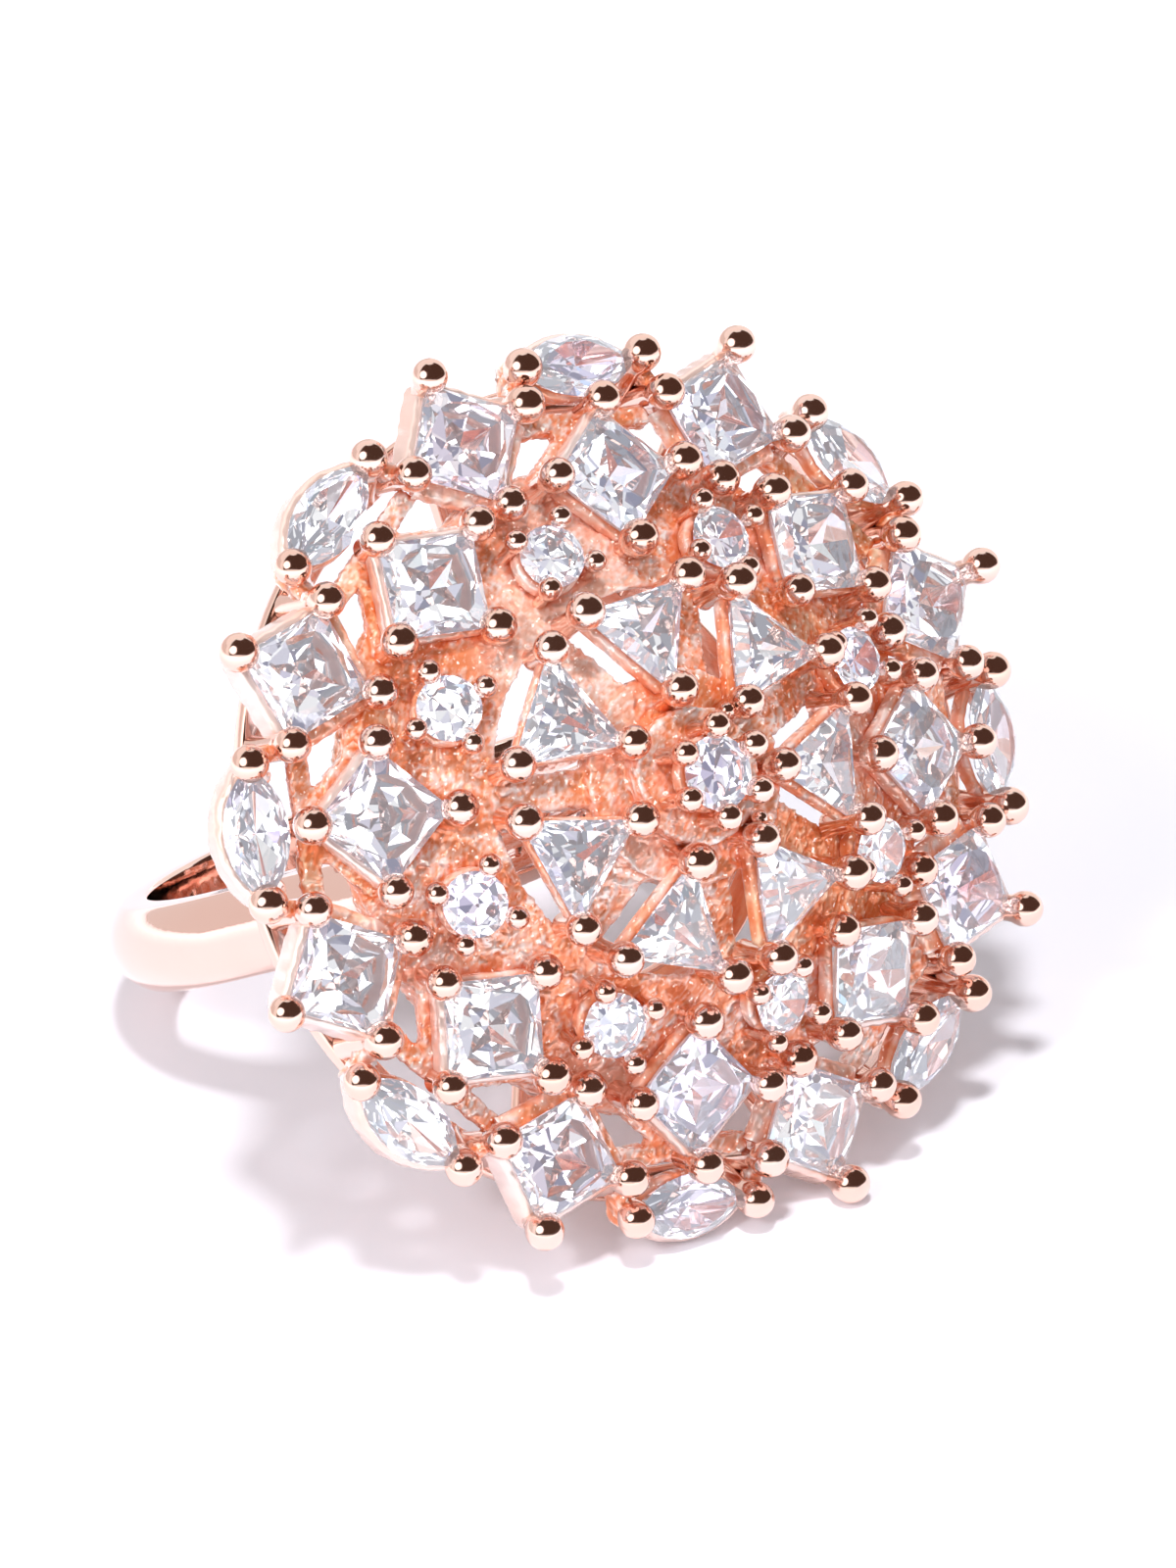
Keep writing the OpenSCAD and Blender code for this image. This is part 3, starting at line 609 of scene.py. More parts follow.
def cast_gold():
    """Unbuffed plate: sandy, and glossy enough for each grain to catch its own bit of light. Its colour
    follows a share of cloud, ridge and sand, so its ridges are pale pink, a painted highlight where
    edges catch the light; some patches are warmer and some paler at random. Its hollows are deep
    orange, painted shade from an ambient occlusion node. The brightest grains are painted glints,
    paler and glowing by emission, and the whole plate glows faintly too."""
    gold, tree, shader = bare_finish("cast_rose_gold")
    place = add_node(tree, "TexCoord", {}).outputs["Object"]
    cloud = noise(tree, place, CLOUD_SCALE, 4)
    broken = {"Roughness": 0.5, "Distortion": 0.4}
    sand = noise(tree, place, SAND_SCALE, 2, broken, noise_type="RIDGED_MULTIFRACTAL")
    ridges = add_node(tree, "Attribute", {}, attribute_name="ridges").outputs["Fac"]
    share = 0
    for source, part in ((cloud, 0.55), (ridges, 0.4), (sand, 0.26)):
        share = maths(tree, "MULTIPLY_ADD", source, part, share)
    # the ridges' part of the share paints a pale highlight along edges and wrinkles
    tint = tinted(
        tree, share, (0.41, (0.85, 0.27, 0.12)), (0.49, (0.94, 0.45, 0.30)),
        (0.55, (0.97, 0.61, 0.50)), (0.61, (1.0, 0.82, 0.76)), (0.70, (1.0, 0.96, 0.94)))
    patch = noise(tree, place, PATCH_SCALE, 2)
    pale = mixed(tree, ranged(tree, patch, (0.46, 0.36), (0, 0.35)), tint, (1.0, 0.86, 0.80, 1))
    warm = ranged(tree, patch, (0.56, 0.68), (0, 0.7))
    warm = mixed(tree, warm, pale, (1.0, 0.80, 0.50, 1), "MULTIPLY")
    # painted shade: ambient occlusion takes the colour to deep orange where other metal crowds a hollow
    open_sky = add_node(tree, "AmbientOcclusion", {"Distance": HOLLOW_SHADE_REACH}, samples=4).outputs["AO"]
    painted_hollow_shade = mixed(tree, ranged(tree, open_sky, (0.05, 0.7)), (0.76, 0.16, 0.04, 1), warm)
    # painted glints: the brightest specks of this noise are made paler and glow by emission
    painted_glint = ranged(tree, noise(tree, place, GLINT_SCALE, 1), (0.65, 0.75))
    tone_and_painted_light = mixed(tree, painted_glint, painted_hollow_shade, (1.0, 0.93, 0.86, 1))
    # painted glow: the plate glows by emission, 0.05 all over and up to 0.4 in its painted glints
    feed(tree, shader, {
        "Metallic": 0.38,
        "Specular IOR Level": 0.7,
        "Base Color": tone_and_painted_light,
        "Emission Color": tone_and_painted_light,
        "Emission Strength": ranged(tree, painted_glint, (0, 1), (0.05, 0.4)),
        "Roughness": ranged(tree, cloud, (0, 1), (0.08, 0.26)),
        "Normal": bumped(tree, sand, 1.0, SAND_DEPTH)})
    return gold


rough_gold = cast_gold()
dome = cast_skin("cast_dome", "dome_frame")
dome.materials.clear()
dome.materials.append(rough_gold)
fit("cast_dome", dome, "dome_frame")


# ---- Inner square settings ----
# Each inner square sits a corner outwards in a small cast basket: a rail just inside its outline,
# four claws at its corners with their tips worked into round beads, and a wall along its outer
# sides. Claws are buffed, the walls satin, and the rails left rough.

SQUARE_SIDE = 3.0
SQUARE_OPEN = 0.85  # share of the stone's width that its seat leaves open
INNER_ROW = (9.43, 0.87, 15.0)  # radius, girdle height and outward lean in degrees
BEAD_R = 0.565
CLAW_R = 0.36
BEAD_LIFT = 0.45  # from the girdle up to a bead's middle
BEAD_REACH = 0.12  # and from the stone's corner out to it
OUTER_FOOT, INNER_FOOT, SIDE_FOOT = 0.92, 0.85, 1.1  # from the girdle down to the claws' feet
RAIL_W = 0.3
RAIL_H = 0.5
RAIL_DROP = 0.35
SKIRT_OUT = 0.2
SKIRT_H = 1.0
SKIRT_DROP = 0.12
WALL_SHARE = 0.9  # an inner square's wall is this much of a skirt's height
CLAW_STEPS = 30
ASIDE = (0.31, 0.17, 0.05)  # a direction that no claw follows
DROP_NECK = 1.35  # how far back a bead's drop runs, in its radii
FOOT_FLARE, FOOT_SPREAD = 0.12, 0.2  # share that a foot is wider, and the length it fades over
HEAD_STRAY, ELBOW_STRAY = 0.022, 0.02  # how far a claw's head and elbow stray
CORNER_SHARE = 0.45  # a strip's corner radius, as a share of its thinner side
ROWS = [360 / ROW_COUNT * i for i in range(ROW_COUNT)]


def seat(azimuth, row):
    """The turn and the place of a stone's seat: leaned outwards, moved out, then spun round."""
    r, z, lean = row
    c, s = math.cos(math.radians(lean)), math.sin(math.radians(lean))
    spin = spin_matrix(azimuth)
    return spin @ np.array([[c, 0, s], [0, 1, 0], [-s, 0, c]]), spin @ np.array([r, 0, z])


def put(where, points):
    """Points drawn about a stone's girdle, in its seat."""
    return np.asarray(points, float) @ where[0].T + where[1]


def put_all(seats, points):
    """The same points in every seat, one after another."""
    return np.concatenate([put(where, points) for where in seats])


def skins(seats, grid, closed=False):
    """The same grid's skin in every seat."""
    return [skin(put(where, grid), closed) for where in seats]


def claws(feet, heads, stem_r, bead_r, seed, elbows=None):
    """Claws as tubes from feet to heads along quadratic curves. The radius is a smooth greater of
    the stem's and of a drop that ends round just past the head; a small flare widens the foot."""
    luck = np.random.default_rng(seed)
    heads = heads + luck.normal(0, HEAD_STRAY, heads.shape)
    if elbows is None:
        elbows = (feet + heads) / 2 + luck.normal(0, ELBOW_STRAY, heads.shape)
    length = np.linalg.norm(heads - feet, axis=1)[:, None]
    bead = bead_r * luck.uniform(0.93, 1.05, length.shape)
    tip = bead * luck.uniform(0.95, 1.1, length.shape)
    along = (1 - np.cos(np.linspace(0, math.pi, CLAW_STEPS + 1)[:-1])) / 2
    t = along * (length + tip)
    past = np.clip(t - length, 0, None)
    near = np.clip(length - t, 0, None)
    drop = bead * np.sqrt(np.clip(1 - (past / tip) ** 2 - (near / (DROP_NECK * bead)) ** 2, 0, 1))
    stem = stem_r * np.sqrt(np.clip(1 - (past / tip) ** 2, 0, 1))
    stem += FOOT_FLARE * stem_r * np.exp(-t / FOOT_SPREAD)
    radius = (drop ** 5 + stem ** 5) ** 0.2
    share = np.clip(t / length, 0, 1)[..., None]
    feet, heads, elbows = feet[:, None], heads[:, None], elbows[:, None]
    line = ((1 - share) ** 2 * feet + 2 * share * (1 - share) * elbows + share ** 2 * heads
            + past[..., None] * unit(heads - elbows))
    slope = unit(2 * (1 - share) * (elbows - feet) + 2 * share * (heads - elbows))
    side = unit(np.cross(slope, ASIDE))
    other = np.cross(slope, side)
    disc = circle(1, 22)
    ring = disc[:, :1] * side[..., None, :] + disc[:, 1:] * other[..., None, :]
    return skin(line[..., None, :] + radius[..., None, None] * ring)


def fine(line, step):
    """A line with more points, no further apart than the step."""
    line = np.asarray(line, float)
    length = np.concatenate([[0], np.cumsum(np.linalg.norm(np.diff(line, axis=0), axis=1))])
    marks = np.linspace(0, length[-1], int(length[-1] / step) + 2)
    return np.stack([np.interp(marks, length, line[:, k]) for k in range(line.shape[1])], -1)


def rounded(outline, radius=0.2, count=5):
    """A closed path through a polygon's corners, each cut by a small quadratic curve."""
    back = radius * unit(np.roll(outline, 1, 0) - outline)
    on = radius * unit(np.roll(outline, -1, 0) - outline)
    s = np.linspace(0, 1, count)[None, :, None]
    bends = outline[:, None] + (1 - s) ** 2 * back[:, None] + s ** 2 * on[:, None]
    return bends.reshape(-1, outline.shape[1])


def square_corners(half):
    """A square's corners on the seat's axes."""
    return half * math.sqrt(2) * np.array([(1, 0), (0, 1), (-1, 0), (0, -1)])


def basket(path_points, height, width=RAIL_W, depth=RAIL_H, closed=True, wear=0.012, flare=0):
    """A rail of rounded strip along a flat path, its skin a little uneven from casting. Its outer
    side runs out by the flare towards the foot."""
    path = fine(np.concatenate([path_points, path_points[:1]]) if closed else path_points, 0.1)
    path = path[:-1] if closed else path
    strip = bar_section(width, depth, min(width, depth) * CORNER_SHARE, 6)
    strip[:, 0] += np.where(strip[:, 0] > 0, flare * (0.5 - strip[:, 1] / depth) ** 1.5, 0)
    grid = carry(strip, at_height(path, height), closed)
    return grid + wear * np.stack([grain(grid, 0.5, seed) for seed in (6, 7, 8)], -1)


setting_gold = plated_gold("claw_rose_gold", (0.96, 0.70, 0.61), (0.94, 0.62, 0.51))
wall_gold = plated_gold("satin_rose_gold", (0.96, 0.80, 0.75), (0.92, 0.65, 0.56), (0.16, 0.30), 0.55, 0.0001)

square_reach = SQUARE_SIDE / math.sqrt(2) + BEAD_REACH
rail_mid = -RAIL_DROP - RAIL_H / 2
square_rail = basket(rounded(square_corners((SQUARE_OPEN * SQUARE_SIDE + RAIL_W) / 2)), rail_mid)
skirt_half = SQUARE_SIDE / 2 + SKIRT_OUT
skirt_t = skirt_half - SQUARE_OPEN * SQUARE_SIDE / 2
skirt_line = rounded(square_corners(skirt_half - skirt_t / 2))
skirt_arm = (skirt_half - skirt_t / 2) * math.sqrt(2)
skirt_path = np.concatenate([[(0, -skirt_arm)], skirt_line[:5], [(0, skirt_arm)]])
inner_wall = basket(skirt_path, -SKIRT_DROP - SKIRT_H * WALL_SHARE / 2, skirt_t, SKIRT_H * WALL_SHARE,
                    closed=False, wear=0.02)
inner_seats = [seat(a, INNER_ROW) for a in ROWS]
inner_feet = np.array([(square_reach, 0, -OUTER_FOOT), (-square_reach, 0, -INNER_FOOT),
                       (0, square_reach, -SIDE_FOOT), (0, -square_reach, -SIDE_FOOT)])
inner_heads = at_height(inner_feet[:, :2], BEAD_LIFT)
inner_claws = claws(put_all(inner_seats, inner_feet), put_all(inner_seats, inner_heads), CLAW_R, BEAD_R, 11)
piece("inner_square_baskets", "inner_square_settings", [
    (setting_gold, [inner_claws]),
    (wall_gold, skins(inner_seats, inner_wall)),
    (rough_gold, skins(inner_seats, square_rail, closed=True))])


# ---- Outer square settings ----
# These baskets stand on the base rail. Each has four claws, a flared skirt along its outer sides
# and a band of casting along its inner ones, and rough lumps of casting bridge its side claws to
# the claws of the marquises on either hand.

OUTER_ROW = (11.77, -0.05, 10.5)
MARQUISE_ROW = (12.91, -0.64, 18.0)
MARQUISE_L = 4.0
BAND_OUT = 0.5
SKIRT_FLARE = 0.18
RIM_CLAW_R = 0.42
FOOT_Z = BASE_TOP + SOLDER_GAP
ELBOW_IN, ELBOW_SHARE = 0.35, 0.55  # a corner claw's elbow: in from its head; height in foot heights
BRIDGE_DROP = 0.95  # from the beads' middles down to the bridges
BRIDGE_W = 0.5
BRIDGE_H = 0.9
BRIDGE_LUMPS = 0.07


def bridge(start, end, seed):
    """A lump of casting between two points: a rounded bar, its skin moved by the grain."""
    grid = carry(bar_section(BRIDGE_W, BRIDGE_H, BRIDGE_W * CORNER_SHARE, 6), fine([start, end], 0.1))
    return skin(grid + BRIDGE_LUMPS * np.stack([grain(grid, 0.4, seed + k) for k in range(3)], -1))


outer_seats = [seat(a, OUTER_ROW) for a in MIDS]
outer_skirt = basket(skirt_path, -SKIRT_DROP - SKIRT_H / 2, skirt_t, SKIRT_H, closed=False, wear=0.02,
                     flare=SKIRT_FLARE)
band_w = SQUARE_SIDE / 2 * (1 - SQUARE_OPEN) + BAND_OUT
band_half = SQUARE_SIDE / 2 + BAND_OUT - band_w / 2
band_end = np.array([(-RAIL_W, RAIL_W - band_half * math.sqrt(2))])
band_path = np.concatenate([band_end, rounded(-square_corners(band_half))[:5], band_end * (1, -1)])
outer_band = basket(band_path, rail_mid, band_w, RAIL_H, closed=False, wear=0.03)

flat_seat = seat(90, OUTER_ROW)
inner_claw, corner_claw, side_claw = put(flat_seat, [
    (-square_reach, 0, BEAD_LIFT), (square_reach, 0, BEAD_LIFT), (0, square_reach, BEAD_LIFT)])
inner_claw_foot = put(flat_seat, (-square_reach, 0, -INNER_FOOT))
corner_elbow = corner_claw * (1, 1, 0) + (-ELBOW_IN, 0, FOOT_Z * ELBOW_SHARE)
side_foot = np.array([math.sqrt(BASE_R ** 2 - square_reach ** 2), square_reach, FOOT_Z])
mirror = np.array((1, -1, 1))
outer_heads = spun(MIDS, [inner_claw, corner_claw, side_claw, side_claw * mirror])
outer_feet = spun(MIDS, [inner_claw_foot, (BASE_R, 0, FOOT_Z), side_foot, side_foot * mirror])
side_elbow = (side_claw + side_foot) / 2
outer_elbows = spun(MIDS, [(inner_claw + inner_claw_foot) / 2, corner_elbow, side_elbow, side_elbow * mirror])
tip_claw = put(seat(90, MARQUISE_ROW), (0, MARQUISE_L / 2 + BEAD_REACH, BEAD_LIFT))
bridges = []
for i, azimuth in enumerate(MIDS):
    for s in (1, -1):
        side_end = (side_claw * (1, s, 1)) @ spin_matrix(azimuth).T - (0, 0, BRIDGE_DROP)
        tip_end = (tip_claw * (1, -s, 1)) @ spin_matrix(azimuth - s * 180 / ROW_COUNT).T - (0, 0, BRIDGE_DROP)
        bridges.append(bridge(side_end, tip_end, 10 * i + s + 1))
piece("outer_square_baskets", "outer_square_settings", [
    (setting_gold, [claws(outer_feet, outer_heads, RIM_CLAW_R, BEAD_R, 12, outer_elbows)]),
    (wall_gold, skins(outer_seats, outer_skirt)),
    (rough_gold, skins(outer_seats, square_rail, closed=True) + skins(outer_seats, outer_band) + bridges)])


# ---- Marquise settings ----
# The rim's eight boat-shaped stones each have two claws at their tips, which stand on the base
# rail, a rail inside their outline and a flared skirt along the outer side.

MARQUISE_W = 2.0
MARQUISE_OPEN = 0.7
RAIL_END = 0.2  # how much shorter than the stone its rail is
TIP_FOOT_IN = 0.25  # how far inside the stone's tip its claw's foot is


def boat_line(length, width, count=40):
    """One side of a marquise: an arc through both tips and the middle of its side, whose radius is
    the squares of length and width added up, over four widths."""
    radius = (length ** 2 + width ** 2) / (4 * width)
    half = math.asin(length / 2 / radius)
    swing = np.linspace(-half, half, count)
    return np.stack([radius * np.cos(swing) - radius + width / 2, radius * np.sin(swing)], -1)


marquise_seats = [seat(a, MARQUISE_ROW) for a in ROWS]
rail_line = boat_line(MARQUISE_L - RAIL_END, MARQUISE_OPEN * MARQUISE_W + RAIL_W)
marquise_rail = basket(np.concatenate([rail_line[:-1], -rail_line[:-1]]), rail_mid)
boat_t = (1 - MARQUISE_OPEN) * MARQUISE_W / 2 + SKIRT_OUT
boat_skirt = basket(boat_line(MARQUISE_L, MARQUISE_W + 2 * SKIRT_OUT - boat_t), -SKIRT_DROP - SKIRT_H / 2,
                    boat_t, SKIRT_H, closed=False, wear=0.02, flare=SKIRT_FLARE)
tip_foot_y = MARQUISE_L / 2 - TIP_FOOT_IN
tip_foot = np.array([math.sqrt(BASE_R ** 2 - tip_foot_y ** 2), tip_foot_y, FOOT_Z])
tip_feet = spun(ROWS, [tip_foot, tip_foot * mirror])
tip_heads = spun(ROWS, [tip_claw, tip_claw * mirror])
piece("marquise_baskets", "marquise_settings", [
    (setting_gold, [claws(tip_feet, tip_heads, RIM_CLAW_R, BEAD_R, 13)]),
    (wall_gold, skins(marquise_seats, boat_skirt)),
    (rough_gold, skins(marquise_seats, marquise_rail, closed=True))])


# ---- Triangle settings ----
# Seven triangular stones point to the hub between the dome's spokes. Each sits in a three-claw
# basket whose feet stand on the casting.

TRIANGLE_COUNT = 7
TRIANGLE_PHASE = 40.0  # azimuth of the first, degrees
TRIANGLE_SIDE = 3.5
TRIANGLE_OPEN = 0.83
TRIANGLE_ROW = (4.67, 3.12, 12.5)
TRIANGLE_FOOT = 1.35

triangle_turns = [TRIANGLE_PHASE + 360 / TRIANGLE_COUNT * i for i in range(TRIANGLE_COUNT)]
triangle_seats = [seat(a, TRIANGLE_ROW) for a in triangle_turns]
open_r = TRIANGLE_OPEN * TRIANGLE_SIDE / math.sqrt(3) + RAIL_W
triangle_rail = basket(rounded(at_angles(open_r, [180, 300, 60])), rail_mid)
triangle_claws = at_angles(TRIANGLE_SIDE / math.sqrt(3) + BEAD_REACH, [180, 300, 60])
triangle_feet = put_all(triangle_seats, at_height(triangle_claws, -TRIANGLE_FOOT))
triangle_heads = put_all(triangle_seats, at_height(triangle_claws, BEAD_LIFT))
piece("triangle_baskets", "triangle_settings", [
    (setting_gold, [claws(triangle_feet, triangle_heads, CLAW_R, BEAD_R, 14)]),
    (rough_gold, skins(triangle_seats, triangle_rail, closed=True))])


# ---- Round settings ----
# Eight small round stones fill the gaps between the inner squares. Each has a round rail and
# four thin claws with small beads.

ROUND_D = 2.0
ROUND_OPEN = 0.78
ROUND_ROW = (7.7, 1.6, 18.0)
SMALL_BEAD_R = 0.36
SMALL_CLAW_R = 0.21
SMALL_BEAD_LIFT = 0.3
SMALL_BEAD_REACH = 0.25
ROUND_FOOT = 1.2

round_seats = [seat(a, ROUND_ROW) for a in MIDS]
round_rail = basket(circle((ROUND_OPEN * ROUND_D + RAIL_W) / 2), rail_mid)
round_claws = at_angles(ROUND_D / 2 + SMALL_BEAD_REACH, [45, 135, 225, 315])
round_feet = put_all(round_seats, at_height(round_claws, -ROUND_FOOT))
round_heads = put_all(round_seats, at_height(round_claws, SMALL_BEAD_LIFT))
piece("round_baskets", "round_settings", [
    (setting_gold, [claws(round_feet, round_heads, SMALL_CLAW_R, SMALL_BEAD_R, 15)]),
    (rough_gold, skins(round_seats, round_rail, closed=True))])


# ---- Centre setting ----
# The centre stone sits on the hub's boss in a basket of six claws. Two drops of solder beside it
# on the hub are left from the making.

CENTRE_D = 2.25
CENTRE_Z = 4.65
CENTRE_CLAWS = 6
CENTRE_STOUT, CENTRE_BEADS = 1.2, 1.15  # its claws' and beads' sizes against the small rounds'
BOSS_TOP = 3.5
DROP_HEADS = np.array([(0.98, 1.82, 3.95), (1.75, -1.46, 3.8)])
DROP_DOWN = (0.1, 0, 1.0)  # from a drop's head to its foot
DROP_R, DROP_STEM_R = 0.24, 0.14

centre_seat = (np.eye(3), np.array([0, 0, CENTRE_Z]))
centre_rail = basket(circle((ROUND_OPEN * CENTRE_D + RAIL_W) / 2), rail_mid)
claw_turns = 360 / CENTRE_CLAWS * (np.arange(CENTRE_CLAWS) + 0.5)
centre_claws = at_angles(CENTRE_D / 2 + SMALL_BEAD_REACH, claw_turns)
centre_feet = at_height(centre_claws, BOSS_TOP)
centre_heads = at_height(centre_claws, CENTRE_Z + SMALL_BEAD_LIFT)
piece("centre_basket", "centre_setting", [
    (setting_gold, [
        claws(centre_feet, centre_heads, SMALL_CLAW_R * CENTRE_STOUT, SMALL_BEAD_R * CENTRE_BEADS, 16),
        claws(DROP_HEADS - DROP_DOWN, DROP_HEADS, DROP_STEM_R, DROP_R, 17)]),
    (rough_gold, skins([centre_seat], centre_rail, closed=True))])


# ---- Stones ----
# The stones are clear cubic zirconia, cut and polished by machine. Each cut is the space left
# inside its facet planes: a flat table, crown facets, a thin girdle and a pointed pavilion.

GIRDLE = 0.04  # half a girdle's thickness
CROWN_H = 0.4
ROUND_CROWN_H = 0.28
TABLE = 0.66  # the table's share of the stone's width
ROUND_DEPTH, SQUARE_DEPTH, TRIANGLE_DEPTH, MARQUISE_DEPTH = 0.43, 0.53, 0.35, 0.38  # share of width
HALF_STEEPER, STAR_STEEPER, UNDER_STEEPER = 1.22, 1.25, 1.05  # a brilliant's minor facets
SIDE_SLOPE, CORNER_SLOPE, PAIR_SLOPE = 50, 30, 29  # the princess crown's facets, degrees
UNDER_SLOPE = 66  # and the facets just under its girdle
PAIR_SWING = 0.32  # how far its pairs face to either hand, of the way to the corner
ZIRCONIA_IOR = 2.17
GLOW = 0.07  # painted glow by emission, in place of the light that the many facets of a stone scatter back, more than a few reflections carry
ASKEW = math.radians(1.6)
# painted fire: faint facet tints in place of the coloured flashes that a real stone splits from the light
FIRE = np.array([(1.0, 1.0, 1.0), (0.97, 0.98, 1.0), (0.88, 0.92, 1.0), (0.92, 0.84, 1.0), (1.0, 0.90, 0.94),
                 (0.82, 0.95, 1.0)])
FIRE_SHARES = [0.45, 0.2, 0.12, 0.1, 0.07, 0.06]


def support(outline, azimuths):
    """How far an outline reaches in each direction."""
    return (np.asarray(outline) @ at_angles(1, azimuths).T).max(0)


def facets(azimuths, slope, reach, height):
    """Facet planes (normal and offset) that face the azimuths, sloped by so many degrees off the
    girdle's plane, each through the point that lies reach out at a height. Below it they face down."""
    slope, reach, height = (np.broadcast_to(v, len(azimuths))[:, None] for v in (slope, reach, height))
    run, rise = np.sin(np.radians(slope)), np.cos(np.radians(slope))
    offset = run * reach + rise * np.abs(height)
    return np.concatenate([run * at_angles(1, azimuths), rise * np.where(height > 0, 1, -1), offset], 1)


def slope_of(rise, run):
    """The slope in degrees of a rise over a run."""
    return np.degrees(np.arctan(rise / run))


def cut(planes):
    """The solid inside all the planes: its corners are the points where three planes meet and that
    no other plane cuts off, and each plane's corners, sorted round its normal, make its facet."""
    normals, offsets = planes[:, :3], planes[:, 3]
    trios = np.array(list(itertools.combinations(range(len(planes)), 3)))
    trios = trios[np.abs(np.linalg.det(normals[trios])) > 1e-5]
    points = np.linalg.solve(normals[trios], offsets[trios][..., None])[..., 0]
    points = points[(points @ normals.T <= offsets + 1e-6).all(1)]
    points = np.unique(points.round(4), axis=0)
    faces = []
    for normal, offset in zip(normals, offsets):
        on = np.flatnonzero(np.abs(points @ normal - offset) < 2e-4)
        if len(on) < 3:
            continue
        away = points[on] - points[on].mean(0)
        first = unit(away[0])
        second = np.cross(normal, first)
        faces.append(on[np.argsort(np.arctan2(away @ second, away @ first))])
    return points, faces


def brilliant(outline, mains, halves, rim, crown, pavilion):
    """The brilliant cut on any outline: main facets from girdle to table and to the point below,
    half facets between them along the girdle, and star facets about the table."""
    stars = np.asarray(mains) + (np.roll(mains, -1) - np.asarray(mains)) % 360 / 2
    reach, half_reach, star_reach = (support(outline, faced) for faced in (mains, halves, stars))
    return np.concatenate([
        [[0, 0, 1, crown]],
        facets(mains, slope_of(crown, (1 - TABLE) * reach), reach, GIRDLE),
        facets(halves, slope_of(crown, (1 - TABLE) * half_reach) * HALF_STEEPER, half_reach, GIRDLE),
        facets(stars, slope_of(crown, star_reach) * STAR_STEEPER, star_reach * TABLE * 0.97, crown),
        facets(rim, 90, support(outline, rim), 1),
        facets(mains, slope_of(pavilion, reach), 0, -pavilion),
        facets(halves, slope_of(pavilion, half_reach) * UNDER_STEEPER, half_reach, -GIRDLE)])


def chevrons(sides, corner_r, side_r, tiers, pavilion):
    """The princess family: on each side, pairs of pavilion facets that face a little to either hand,
    steeper from the point to the girdle, so that they meet in nested arrows. A tier is a swing to
    the hand, the share of the corner's radius that it ends at, and its rise."""
    sides = np.asarray(sides, float)
    to_corner = 180 / len(sides)
    crown_r = corner_r * math.cos(math.radians(to_corner * (1 - PAIR_SWING)))
    planes = [
        [[0, 0, 1, CROWN_H]],
        facets(sides, 90, side_r, 1),
        facets(sides, SIDE_SLOPE, side_r, GIRDLE),
        facets(sides + to_corner, CORNER_SLOPE, corner_r * TABLE * 0.9, CROWN_H),
        facets(sides, UNDER_SLOPE, side_r, -GIRDLE)]
    planes += [facets(sides + hand * to_corner * PAIR_SWING, PAIR_SLOPE, crown_r, GIRDLE) for hand in (-1, 1)]
    r, z = 0.0, -pavilion
    for swing, until, rise in tiers:
        gap = math.cos(math.radians(to_corner - swing))
        planes += [facets(sides + hand * swing, slope_of(rise, gap), r * gap, z) for hand in (-1, 1)]
        z += rise * (until * corner_r - r)
        r = until * corner_r
    return np.concatenate(planes)


def round_brilliant(diameter):
    """The brilliant cut on a circle, with 8 main facets and 16 halves."""
    return cut(brilliant(circle(diameter / 2, 64), np.arange(8) * 45.0, np.arange(16) * 22.5 + 11.25,
                         np.arange(32) * 11.25, ROUND_CROWN_H, ROUND_DEPTH * diameter))


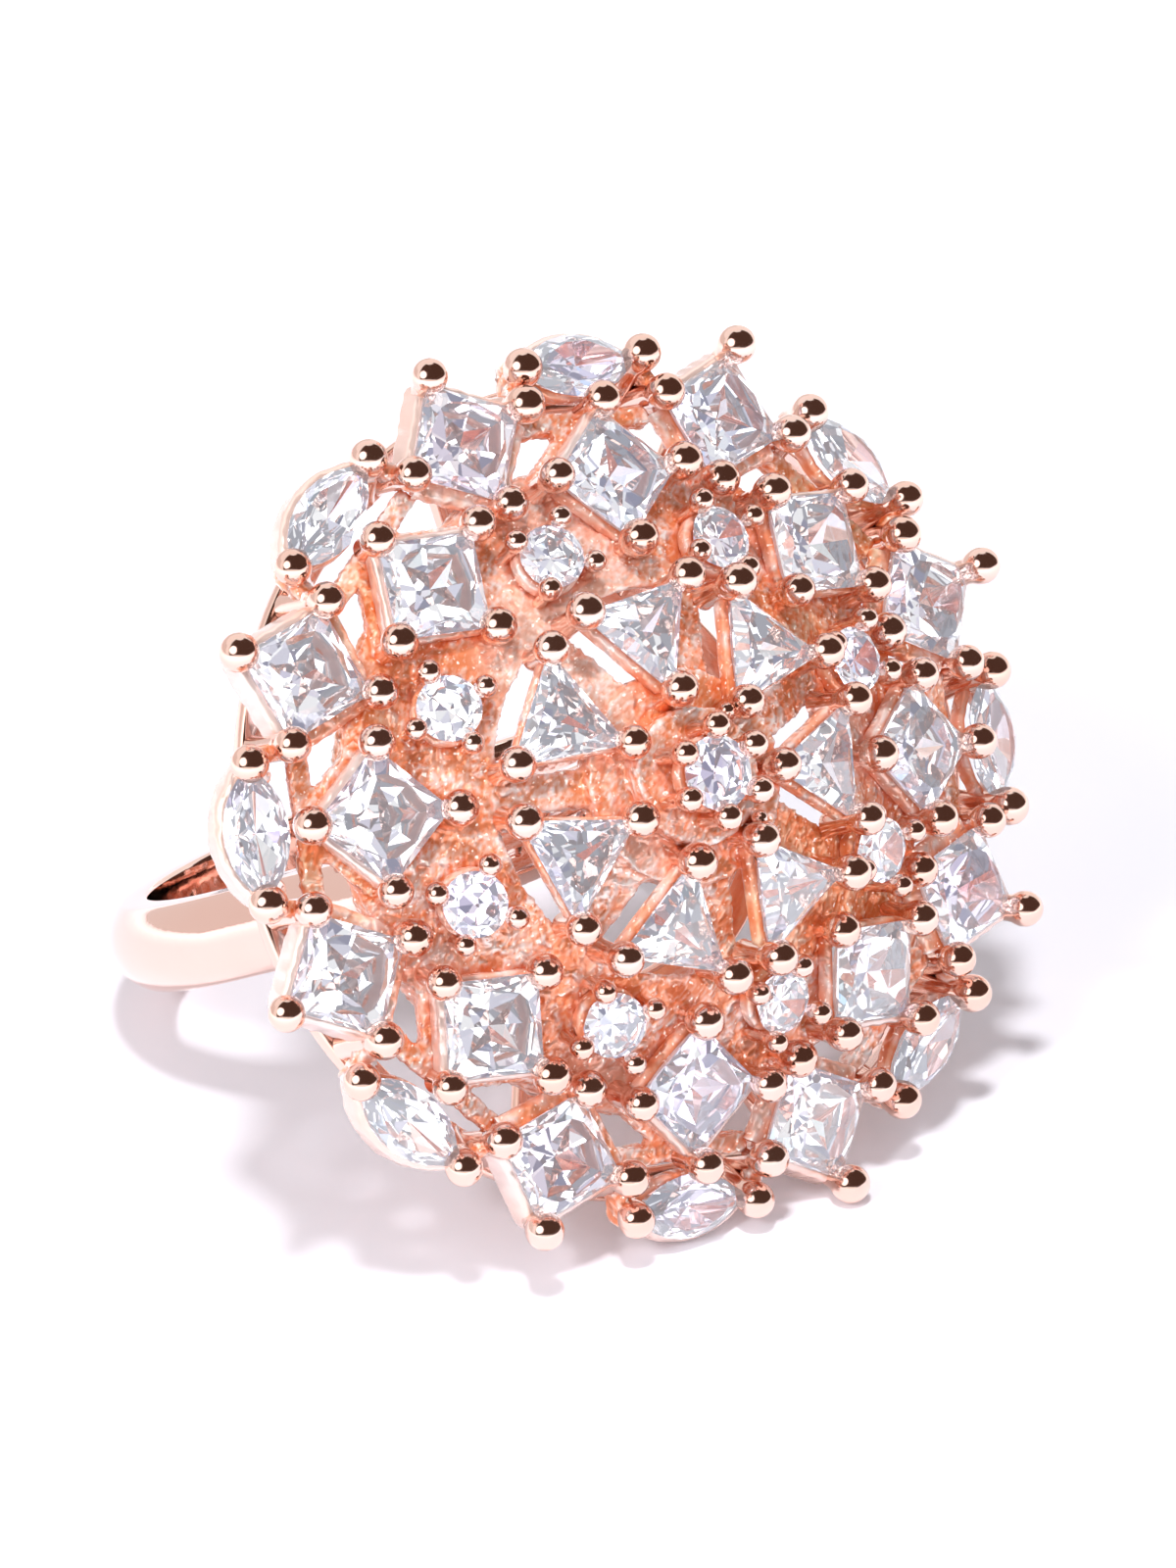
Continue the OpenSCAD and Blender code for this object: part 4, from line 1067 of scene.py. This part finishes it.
round_cut, centre_cut = round_brilliant(ROUND_D), round_brilliant(CENTRE_D)
square_cut = cut(chevrons([45, 135, 225, 315], SQUARE_SIDE / math.sqrt(2), SQUARE_SIDE / 2,
                          [(30, 0.52, 0.66), (13, 1.0, 0.80)], SQUARE_DEPTH * SQUARE_SIDE))
triangle_cut = cut(chevrons([0, 120, 240], TRIANGLE_SIDE / math.sqrt(3), TRIANGLE_SIDE / math.sqrt(12) + 0.06,
                            [(28, 0.55, 0.54), (10, 1.0, 0.66)], TRIANGLE_DEPTH * TRIANGLE_SIDE))
boat = boat_line(MARQUISE_L, MARQUISE_W)
boat_mains = [-62, -38, -13, 13, 38, 62, 118, 142, 167, 193, 218, 242]
boat_halves = [-50, -26, 0, 26, 50, 130, 154, 180, 206, 230]
boat_rim = np.concatenate([np.linspace(-50, 50, 9), np.linspace(130, 230, 9)])
marquise_cut = cut(brilliant(np.concatenate([boat, -boat]), boat_mains, boat_halves, boat_rim, CROWN_H,
                             MARQUISE_DEPTH * MARQUISE_W))

zirconia, tree, shader = bare_finish("clear_zirconia")
feed(tree, shader, {
    "Roughness": 0.0,
    "IOR": ZIRCONIA_IOR,
    "Transmission Weight": 1.0,
    "Base Color": add_node(tree, "Attribute", {}, attribute_name="fire").outputs["Color"],
    # a faint bluish painted glow, in place of light that the stone's many facets would send back
    "Emission Color": (0.88, 0.89, 1.0, 1),
    "Emission Strength": GLOW})
luck = np.random.default_rng(7)


def stone(name, cut_shape, where):
    """One cut stone, a degree or two askew in its seat, each facet with a faint painted tint for its fire."""
    points, faces = cut_shape
    askew = Matrix.Rotation(luck.normal(0, ASKEW), 3, "X") @ Matrix.Rotation(luck.normal(0, ASKEW), 3, "Y")
    shell = put(where, points @ np.array(askew)), faces
    thing = piece("cut_" + name, name, [(zirconia, [shell])], sharp=0)
    tints = FIRE[luck.choice(len(FIRE), len(faces), p=FIRE_SHARES)]
    tints = np.repeat(tints, [len(face) for face in faces], 0)
    fire = thing.data.attributes.new("fire", "FLOAT_COLOR", "CORNER")
    fire.data.foreach_set("color", np.insert(tints, 3, 1, 1).ravel())


stone("centre_stone", centre_cut, centre_seat)
for i in range(TRIANGLE_COUNT):
    stone(f"triangle_stone_{i + 1}", triangle_cut, triangle_seats[i])
for i in range(ROW_COUNT):
    stone(f"round_stone_{i + 1}", round_cut, round_seats[i])
    stone(f"inner_square_stone_{i + 1}", square_cut, inner_seats[i])
    stone(f"outer_square_stone_{i + 1}", square_cut, outer_seats[i])
    stone(f"marquise_stone_{i + 1}", marquise_cut, marquise_seats[i])
